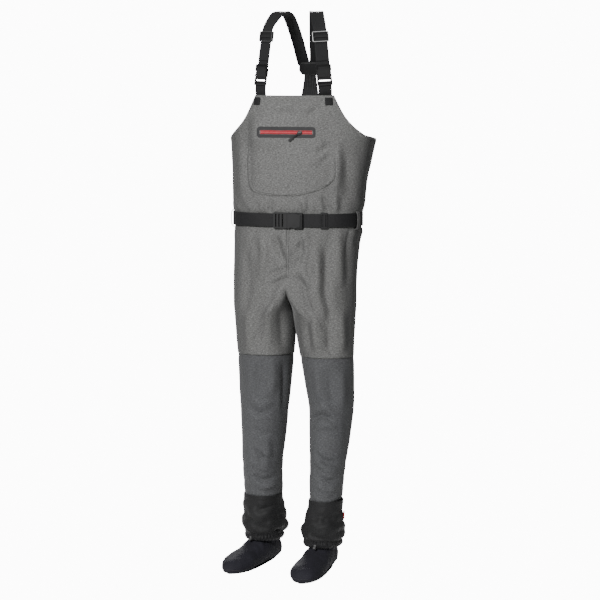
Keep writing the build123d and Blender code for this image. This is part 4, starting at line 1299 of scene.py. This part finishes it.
def build_sole(side):
    outline = []
    for angle in circle(110):
        behind = -66 + 125 * signed_power(math.cos(angle), 0.8)
        half_width = float(stations_at(FOOT, behind)[0]) * 0.80
        outline.append((behind, half_width * signed_power(math.sin(angle), 0.8)))
    outline = relax_loop(np.array(outline), 6)
    radial = unit(outline - outline.mean(0))
    rings = []
    for outward, z in SOLE_RINGS[::-1]:
        ring = outline + radial * outward
        rings.append(foot_to_world(side, ring[:, 0], ring[:, 1], z))
    rows, cols = len(rings), len(outline)
    obj = make_mesh(f"{side}_sole_pad", np.array(rings).reshape(-1, 3),
                    grid(rows, cols, True) + caps(rows, cols))
    face_outwards(obj)
    dress(obj, NEOPRENE_TAPE, f"{side}_foot", "neoprene", f"{side}_sock_sole")


guards = {}
for side in SIDES:
    build_lower(side)
    guards[side] = build_guard(side)
    build_gathered_band(side)
    sock_seams(side, build_sock(side))
    build_sole(side)

# ------------------------------------------------------------------ belt
BELT_X, BELT_HALF_WIDTH, BELT_HALF_DEPTH, BELT_POWER = 2.9, 192.4, 101.3, 2.5
# Height, and distance outside the belt's line, of the cloth loops
BELT_LOOP = [(1011, -6.5), (1016, -4.0), (1021, 2.0), (1026, 6.6), (1036, 8.2), (1046, 8.5),
             (1056, 8.2), (1066, 6.6), (1071, 2.0), (1076, -4.0), (1082, -6.0)]


def belt_points(theta, offset=0.0):
    return ring_points(theta, BELT_Z, BELT_X, 0.0, BELT_HALF_WIDTH + offset,
                       BELT_HALF_DEPTH + offset, BELT_POWER)


def belt_run(from_x, to_x, offset):
    """The belt's line anticlockwise from the front at from_x to the front at to_x."""
    theta = np.linspace(FRONT_ANGLE - 1.4, FRONT_ANGLE + 2 * math.pi + 1.4, 9000)
    p = belt_points(theta, offset)

    def find(x, after):
        hits = (p[:, 1] < 0) & (np.abs(p[:, 0] - x) < 0.6) & (np.arange(len(theta)) > after)
        return int(np.nonzero(hits)[0][0])

    first = find(from_x, 0)
    last = find(to_x, first + 10)
    return resample(p[first:last + 1], 4.0)


def build_belt():
    up = (0.0, 0.0, 1.0)
    path = belt_run(28, -168, 2.0)
    s = distances(path)
    path[:, 2] += 0.8 * np.sin(s / 83.0) * smooth(s, 90, 200)
    ribbon("belt_webbing", path, up, "belt_webbing_main")
    # the doubled end of the adjusting side
    ribbon("belt_webbing_doubled", belt_run(44, 100, 3.35), up, half=19.7, thickness=0.7)
    # the side that leaves with the plug
    plug_side = ribbon("belt_webbing_plug_side", belt_run(-172, -19, 4.3), up,
                       "belt_webbing_right", body=None)
    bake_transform(plug_side)


def build_belt_loop(side):
    """A cloth loop at the side seam."""
    start = FRONT_ANGLE if side == "left" else math.pi / 2
    line = belt_points(np.linspace(start, start + math.pi, 4000))
    k = int(np.argmin(np.abs(line[:, 1] - box_mm(f"{side}_belt_loop")[2][1])))
    tangent = unit(line[k] - line[k - 2])
    out = np.array([tangent[1], -tangent[0], 0.0])
    foot = np.array([line[k, 0], line[k, 1], 0])
    path = curve([foot + out * offset + np.array([0, 0, z]) for z, offset in BELT_LOOP], 2.0)
    ribbon(f"{side}_belt_loop_cloth", path, tangent, f"{side}_belt_loop", half=7.2,
           material=LIGHT_CLOTH, slot="light_fabric")


build_belt()
for side in SIDES:
    build_belt_loop(side)

# ------------------------------------------------------------------ shoulder straps
STRAP_X = 8                   # middle between the straps above the bib
STRAP_TOP_OUT = 50.6          # from that middle to each strap on top of the shoulder
STRAP_LIFT = 2.2              # webbing's middle, out from the strap's line
# Distance along the strap's line, and out from it, of the sewn tab
STRAP_TAB = [(-34, -7.0), (-20, -6.8), (-4, -6.4), (8, -5.2), (16, -2.6), (24, 0.4),
             (32, 1.8), (42, 2.2), (52.6, 2.2)]
# Distance out from the middle, y, height
STRAP_ARCH = [(66, -42.0, 1634.0), (57, -18.0, 1650.5), (STRAP_TOP_OUT, -1.1, 1654.0)]
STRAP_BACK = [(50, 1.1, 1654.0), (44, 22.0, 1648.0), (36, 52.0, 1616.0), (28, 84.0, 1566.0),
              (21.6, 114.0, 1515.0), (18, 123.0, 1497.0)]
ADJUSTER_AT = 184             # along the strap's line


def strap_axes(sign):
    """Origin of a strap's front line, and its directions along, out and across."""
    origin = np.array([12 + sign * 100, -92.5, 1398.0])
    along = unit(np.array([STRAP_X + sign * 78, -66.0, 1600.0]) - origin)
    facing = np.array([0.42 * sign, -0.907, 0.0])
    out = unit(facing - along * (facing @ along))
    return origin, along, out, np.cross(along, out)


def station(sign, distance, lift=STRAP_LIFT, sideways=0.0):
    origin, along, out, across = strap_axes(sign)
    return origin + along * distance + out * lift + across * sideways


def strap_points(sign, table):
    return [np.array([STRAP_X + out * sign, y, z]) for out, y, z in table]


def strap_webbing(side, sign):
    across = strap_axes(sign)[3]
    # sewn tab: out of sight behind the bib, forward over its edge, up into the plug
    ribbon(f"{side}_strap_tab_webbing", curve([station(sign, *row) for row in STRAP_TAB], 2.0),
           across, f"{side}_strap_tab")
    # front webbing: up from the socket, through the adjuster, over the shoulder
    run = [station(sign, at) for at in (92, 110, 130, 150, 168, ADJUSTER_AT, 200)]
    path = curve(run + strap_points(sign, STRAP_ARCH), 4.0)
    turn = smooth(path[:, 2], 1600, 1652)[:, None]
    width = across[None] * (1 - turn) + np.array([[1.0, 0.0, 0.0]]) * turn
    front = ribbon(f"{side}_strap_front_webbing", path, width, f"{side}_strap_front", body=None)
    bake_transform(front)
    # doubled end of the webbing below the adjuster
    path = np.array([station(sign, at, 3.5 + 0.08 * math.sin(at / 9.0))
                     for at in np.arange(112, 168, 3.0)])
    doubled = ribbon(f"{side}_strap_doubled", path, across, body=None, half=19.7, thickness=0.8)
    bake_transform(doubled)
    path = curve(strap_points(sign, STRAP_BACK), 4.0)
    lean = np.linspace(0, 1, len(path))[:, None]
    width = (np.array([[1.0, 0.10 * sign, 0.0]]) * (1 - lean)
             + np.array([[1.0, 0.0, 0.18 * sign]]) * lean)
    ribbon(f"{side}_strap_back_webbing", path, width, f"{side}_strap_back", wave=0.5)


def strap_patch(side, sign):
    """A small sewn square on the bib, with stitches round it and along a diagonal."""
    centre = box_mm(f"{side}_strap_patch")[2]
    count = 15
    p, out = drape_grid(
        [(centre[0] + u - 0.09 * sign * v, min(centre[2] + v, 1408.5))
         for u in np.linspace(-10, 10, count)]
        for v in np.linspace(10.5, -10.5, count))
    out = unit(out.mean(axis=(0, 1)))
    inwards = 1 - np.abs(np.linspace(-1, 1, count))
    edge = np.minimum(inwards[:, None], inwards[None, :])
    lift = 1.0 * smooth(edge, -0.04, 0.16) + 0.2 - 0.45 * bell(edge - 0.24, 0.05)
    raised = p + out * lift[..., None]
    obj = make_mesh(f"{side}_strap_patch_sewn", raised.reshape(-1, 3), grid(count, count, False),
                    grid_uv(p[..., 0] / 1000, p[..., 2] / 1000))
    thicken(obj, 1.2)
    dress(obj, WEBBING, "root", "webbing", f"{side}_strap_patch")
    steps = range(12)
    cells = ([(1, 1 + k) for k in steps] + [(1 + k, 13) for k in steps]
             + [(13, 13 - k) for k in steps] + [(13 - k, 1) for k in steps]
             + [(1 + k, 1 + k) for k in steps])
    stitches(f"{side}_strap_patch_stitches", [raised[cell] for cell in cells], out, "root",
             GREY_THREAD, pitch=2.4, length=1.7, radius=0.26)


for side, sign in SIDES.items():
    strap_webbing(side, sign)
    strap_patch(side, sign)

# ------------------------------------------------------------------ back yoke and elastic
YOKE_OUTLINE = np.array([(-30, 19), (30, 19), (36, -8), (27, -23), (-27, -23), (-36, -8)], float)
# x, y, height of the middle of the elastic panel
BACK_ELASTIC = [(6, 128.6, 1476), (6, 131.6, 1462), (6, 131.0, 1430), (7, 123.0, 1390),
                (9, 113.6, 1350), (9, 110.4, 1338), (10, 110.2, 1318)]
# Heights, and half widths of the panel there
ELASTIC_WIDTH = ([1318, 1346, 1390, 1430, 1465, 1480], [39, 37.5, 30, 23, 18.5, 18])
SIDEWAYS = np.array([1.0, 0, 0])


def build_yoke():
    """The pad where the straps meet, with a stitched line on both faces."""
    centre = box_mm("back_yoke")[2]
    down = unit(np.array([0, 0.40, -0.92]))
    out = np.cross(SIDEWAYS, down)
    loop = resample(np.concatenate([YOKE_OUTLINE, YOKE_OUTLINE[:1]]), 2.4)[:-1]
    loop = relax_loop(loop, 6)

    def place(flat):
        return centre + flat[:, :1] * SIDEWAYS - flat[:, 1:] * down

    outer, inner = [], []
    for k in np.concatenate([np.linspace(0.05, 0.93, 12), [0.96, 0.985, 1.0]]):
        half = 2.9 * (1 - k ** 8) ** 0.5 - 0.55 * bell(k - 0.86, 0.025)
        outer.append(place(loop * k) + out * half)
        inner.append(place(loop * k) - out * half)
    p = np.array(inner[:-1] + outer[::-1])
    rows, cols = len(p), len(loop)
    uv = grid_uv(wrap((p - centre) @ SIDEWAYS / 1000), wrap((p - centre) @ down / 1000))
    obj = make_mesh("back_yoke_pad", p.reshape(-1, 3), grid(rows, cols, True) + caps(rows, cols),
                    np.concatenate([uv, np.zeros((2 * cols, 2))], 0))
    face_outwards(obj)
    dress(obj, GUARD_CLOTH, "root", "webbing", "back_yoke")
    ring = place(np.concatenate([loop, loop[:1]]) * 0.86)
    for tag, sign in (("outer", 1), ("inner", -1)):
        stitches(f"back_yoke_stitches_{tag}", ring + out * sign * 2.3, out * sign, "root",
                 GREY_THREAD, pitch=3.2, length=2.3, radius=0.3)


def build_back_elastic():
    """Gathered elastic from the yoke down to the back of the bib."""
    middle = curve(BACK_ELASTIC, 2.0)
    half = spline(*ELASTIC_WIDTH, middle[:, 2])
    u = np.linspace(-1, 1, 61)
    out = np.cross(SIDEWAYS, unit(np.gradient(middle, axis=0)))
    s = distances(middle)
    # each column of elastic cord is a rib along the panel, and the cloth between puckers
    rib = 0.75 * np.abs(np.cos(u * math.pi * 5.0))[None]
    along, across = np.meshgrid(s, u * 14, indexing="ij")
    pucker = 0.55 * waves(np.stack([along, across], -1), 8.0, 71, 16, (1, 3))
    edge = (1 - u[None] ** 8) ** 0.5
    flat = middle[:, None] + SIDEWAYS * (half[:, None] * u)[..., None]
    back = flat + out[:, None] * (edge * (0.9 + rib + pucker))[..., None]
    front = flat - out[:, None] * (edge * (0.9 + rib - pucker))[..., None]
    p = np.concatenate([back, front[:, -2:0:-1]], 1)
    rows, cols = p.shape[:2]
    round_u = np.concatenate([u, u[-2:0:-1], u[:1]])[None] * half[:, None] / 1000
    uv = grid_uv(np.repeat(s[:, None], cols + 1, 1) / 1000, round_u)
    obj = make_mesh("back_elastic_panel", p.reshape(-1, 3),
                    grid(rows, cols, True) + caps(rows, cols),
                    np.concatenate([uv, np.zeros((2 * cols, 2))], 0))
    face_outwards(obj)
    dress(obj, ELASTIC, "root", "elastic", "back_elastic")


build_yoke()
build_back_elastic()


# ------------------------------------------------------------------ side label
def side_label():
    """A plain tab sewn flat over the left guard's side seam."""
    low, high, centre = box_mm("left_guard_label")
    tree = tree_of(guards["left"])
    path = []
    for y in np.linspace(high[1] + 0.5, low[1] - 0.5, 14):
        surface_x = max(cast(tree, (260, y, z), (-1, 0, 0))[0][0]
                        for z in np.linspace(low[2], high[2], 9))
        path.append((surface_x + 0.75, y, centre[2]))
    ribbon("left_guard_tab", path, (0, 0, 1.0), "left_guard_label", body="left_shin",
           half=(high[2] - low[2]) / 2, thickness=1.2, material=LABEL_RED, slot="label")


side_label()


# ------------------------------------------------------------------ buckles, hooks and zip
def keep(name, material, bevel=0.35):
    """Keeps a CAD solid, with its edges softened."""
    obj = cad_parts[name]
    dress(obj, material)
    edges = obj.modifiers.new("edges", "BEVEL")
    edges.width, edges.segments = bevel / 1000, 2
    edges.limit_method, edges.angle_limit = "ANGLE", math.radians(38)
    edges.use_clamp_overlap = True


def adjuster_rims():
    """The front edge of each strap's length adjuster."""
    half_width, half_height, corner = 20.6, 11.6, 2.8
    corners = [(half_width, half_height, 0), (-half_width, half_height, 90),
               (-half_width, -half_height, 180), (half_width, -half_height, 270)]
    # painted light: the left rim gets the lighter material as a painted highlight, the right rim
    # the darker one as painted shade
    for side, material in (("right", RIM_WITH_PAINTED_SHADE), ("left", RIM_WITH_PAINTED_HIGHLIGHT)):
        path = []
        for across, along, first in corners:
            for k in range(7):
                angle = math.radians(first + 15 * k)
                path.append(station(SIDES[side], ADJUSTER_AT + along + corner * math.sin(angle),
                                    6.1, across + corner * math.cos(angle)))
        obj = make_mesh(f"{side}_adjuster_rim", *tube(path, 0.72, closed=True))
        dress(obj, material, f"{side}_adjuster")


def zip_tapes():
    """Two knitted tapes, swollen along their middles, that fill the frame's window."""
    low, high, centre = box_mm("zip_tape")
    gap, width = 1.15, 4.85       # from the zip's line to each tape, and across a tape
    cols, rows = 220, 9
    x, across = np.meshgrid(np.linspace(0, 1, cols), np.linspace(0, 1, rows), indexing="ij")
    x = low[0] + (high[0] - low[0]) * x
    swell = np.sin(math.pi * across) ** 0.6
    parts, uvs = [], []
    for sign in (1, -1):
        z = centre[2] + sign * (gap + width * across)
        y = (high[1] - 0.35 - 0.75 * swell * (1 + 0.12 * np.sin(x * 2.2))
             - 0.1 * np.sin(x / 9.0 + sign))
        y = np.clip(y, low[1] - 0.15, high[1])
        parts.append((np.stack([x, y, z], -1).reshape(-1, 3), grid(cols, rows, False)))
        uvs.append(grid_uv(x / 1000, z / 1000))
    obj = make_mesh("zip_tapes", *merge(parts), np.concatenate(uvs, 0))
    thicken(obj, 0.4, offset=0.0)
    dress(obj, ZIP_TAPE_RED, "root", "zip_red", "zip_tape")


PLASTIC_PARTS = ("buckle_plug", "buckle_socket", "latch_arm", "adjuster")
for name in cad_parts:
    if any(part in name for part in PLASTIC_PARTS) or name == "belt_keeper":
        keep(name, PLASTIC)
    elif name.endswith("lace_hook"):
        keep(name, METAL, bevel=0.25)
keep("zip_frame", LAMINATE, bevel=0.3)
adjuster_rims()
zip_tapes()
keep("zip_chain", ZIP_RED, bevel=0.15)
keep("zip_slider", METAL, bevel=0.3)
keep("zip_pull", PLASTIC, bevel=0.3)


# ------------------------------------------------------------------ floor, light, camera
def floor_material():
    """White that the camera does not see, and that fades out with distance."""
    material, tree, shader = new_material("floor_white")
    mottle = noise(tree, "Object", 3, detail=3.0, rough=0.5)
    color = ramp(tree, mottle, (0.3, grey(0.93)), (0.7, grey(0.96)))
    tree.links.new(color, shader.inputs["Base Color"])
    set_inputs(shader, Roughness=0.8)
    coords = tree.nodes.new("ShaderNodeTexCoord")
    distance = tree.nodes.new("ShaderNodeVectorMath")
    distance.operation = "LENGTH"
    tree.links.new(coords.outputs["Object"], distance.inputs[0])
    gone = ramp(tree, math_node(tree, "MULTIPLY", distance.outputs["Value"], 0.25),
                (0.10, grey(0)), (0.80, grey(1)))
    seen = tree.nodes.new("ShaderNodeLightPath").outputs["Is Camera Ray"]
    thin = math_node(tree, "MAXIMUM", gone, seen)
    clear = tree.nodes.new("ShaderNodeBsdfTransparent")
    mix = tree.nodes.new("ShaderNodeMixShader")
    tree.links.new(thin, mix.inputs[0])
    tree.links.new(shader.outputs[0], mix.inputs[1])
    tree.links.new(clear.outputs[0], mix.inputs[2])
    output = [node for node in tree.nodes if node.type == "OUTPUT_MATERIAL"][0]
    tree.links.new(mix.outputs[0], output.inputs["Surface"])
    return material


def build_floor():
    """A round floor that throws light back up, in metres."""
    z, cols = -0.0005, 96
    verts = [(0.0, 0.0, z)]
    for radius in (0.6, 1.4, 2.6, 4.2):
        verts += [(radius * math.cos(a), radius * math.sin(a), z) for a in circle(cols)]
    faces = [(0, 1 + i, 1 + (i + 1) % cols) for i in range(cols)]
    for k in range(3):
        a, b = 1 + k * cols, 1 + (k + 1) * cols
        faces += [(a + i, b + i, b + (i + 1) % cols, a + (i + 1) % cols) for i in range(cols)]
    mesh = bpy.data.meshes.new("floor")
    mesh.from_pydata(verts, [], faces)
    obj = bpy.data.objects.new("floor", mesh)
    bpy.context.scene.collection.objects.link(obj)
    dress(obj, floor_material())
    return obj


def aim_at(obj, target):
    obj.rotation_euler = (Vector(target) - obj.location).to_track_quat("-Z", "Y").to_euler()


def area_light(name, location, target, size, watts):
    data = bpy.data.lights.new(name, "AREA")
    data.shape, data.energy, data.color = "RECTANGLE", watts, (1, 1, 1)
    data.size, data.size_y = size
    light = bpy.data.objects.new(name, data)
    light.location = location
    aim_at(light, target)
    light.visible_camera = False
    bpy.context.scene.collection.objects.link(light)
    return light


def build_world():
    """Soft light all round, and a plain white background for the camera."""
    world = bpy.data.worlds.new("studio")
    world.use_nodes = True
    tree = world.node_tree
    ambient = tree.nodes["Background"]
    set_inputs(ambient, Color=(1, 1, 1, 1), Strength=0.36)
    white = tree.nodes.new("ShaderNodeBackground")
    set_inputs(white, Color=(1, 1, 1, 1), Strength=12.0)
    path = tree.nodes.new("ShaderNodeLightPath")
    mix = tree.nodes.new("ShaderNodeMixShader")
    tree.links.new(path.outputs["Is Camera Ray"], mix.inputs[0])
    tree.links.new(ambient.outputs[0], mix.inputs[1])
    tree.links.new(white.outputs[0], mix.inputs[2])
    tree.links.new(mix.outputs[0], tree.nodes["World Output"].inputs["Surface"])
    bpy.context.scene.world = world


def build_camera():
    data = bpy.data.cameras.new("camera")
    data.lens, data.sensor_width = 131.7, 36.0
    camera = bpy.data.objects.new("camera", data)
    distance, height = 6.5, 1.52
    # a little to the view's right of the middle
    target = Vector((0.009 * VIEW_COS, 0.009 * VIEW_SIN, 0.801))
    camera.location = Vector((target.x + distance * VIEW_SIN,
                              target.y - distance * VIEW_COS, height))
    aim_at(camera, target)
    bpy.context.scene.collection.objects.link(camera)
    bpy.context.scene.camera = camera
    return camera


floor = build_floor()
# a small high key from the front, so that the flanks fall away, and one behind for the back
lights = [
    area_light("key", (-0.75, -4.6, 3.1), target=(0, 0, 0.85), size=(0.8, 1.1), watts=1000),
    area_light("top", (-0.3, -1.0, 4.4), target=(0, 0, 0.8), size=(1.4, 1.0), watts=90),
    area_light("behind", (-1.25, 4.7, 2.9), target=(0, 0, 0.85), size=(1.4, 1.4), watts=760),
]
build_world()
build_camera()
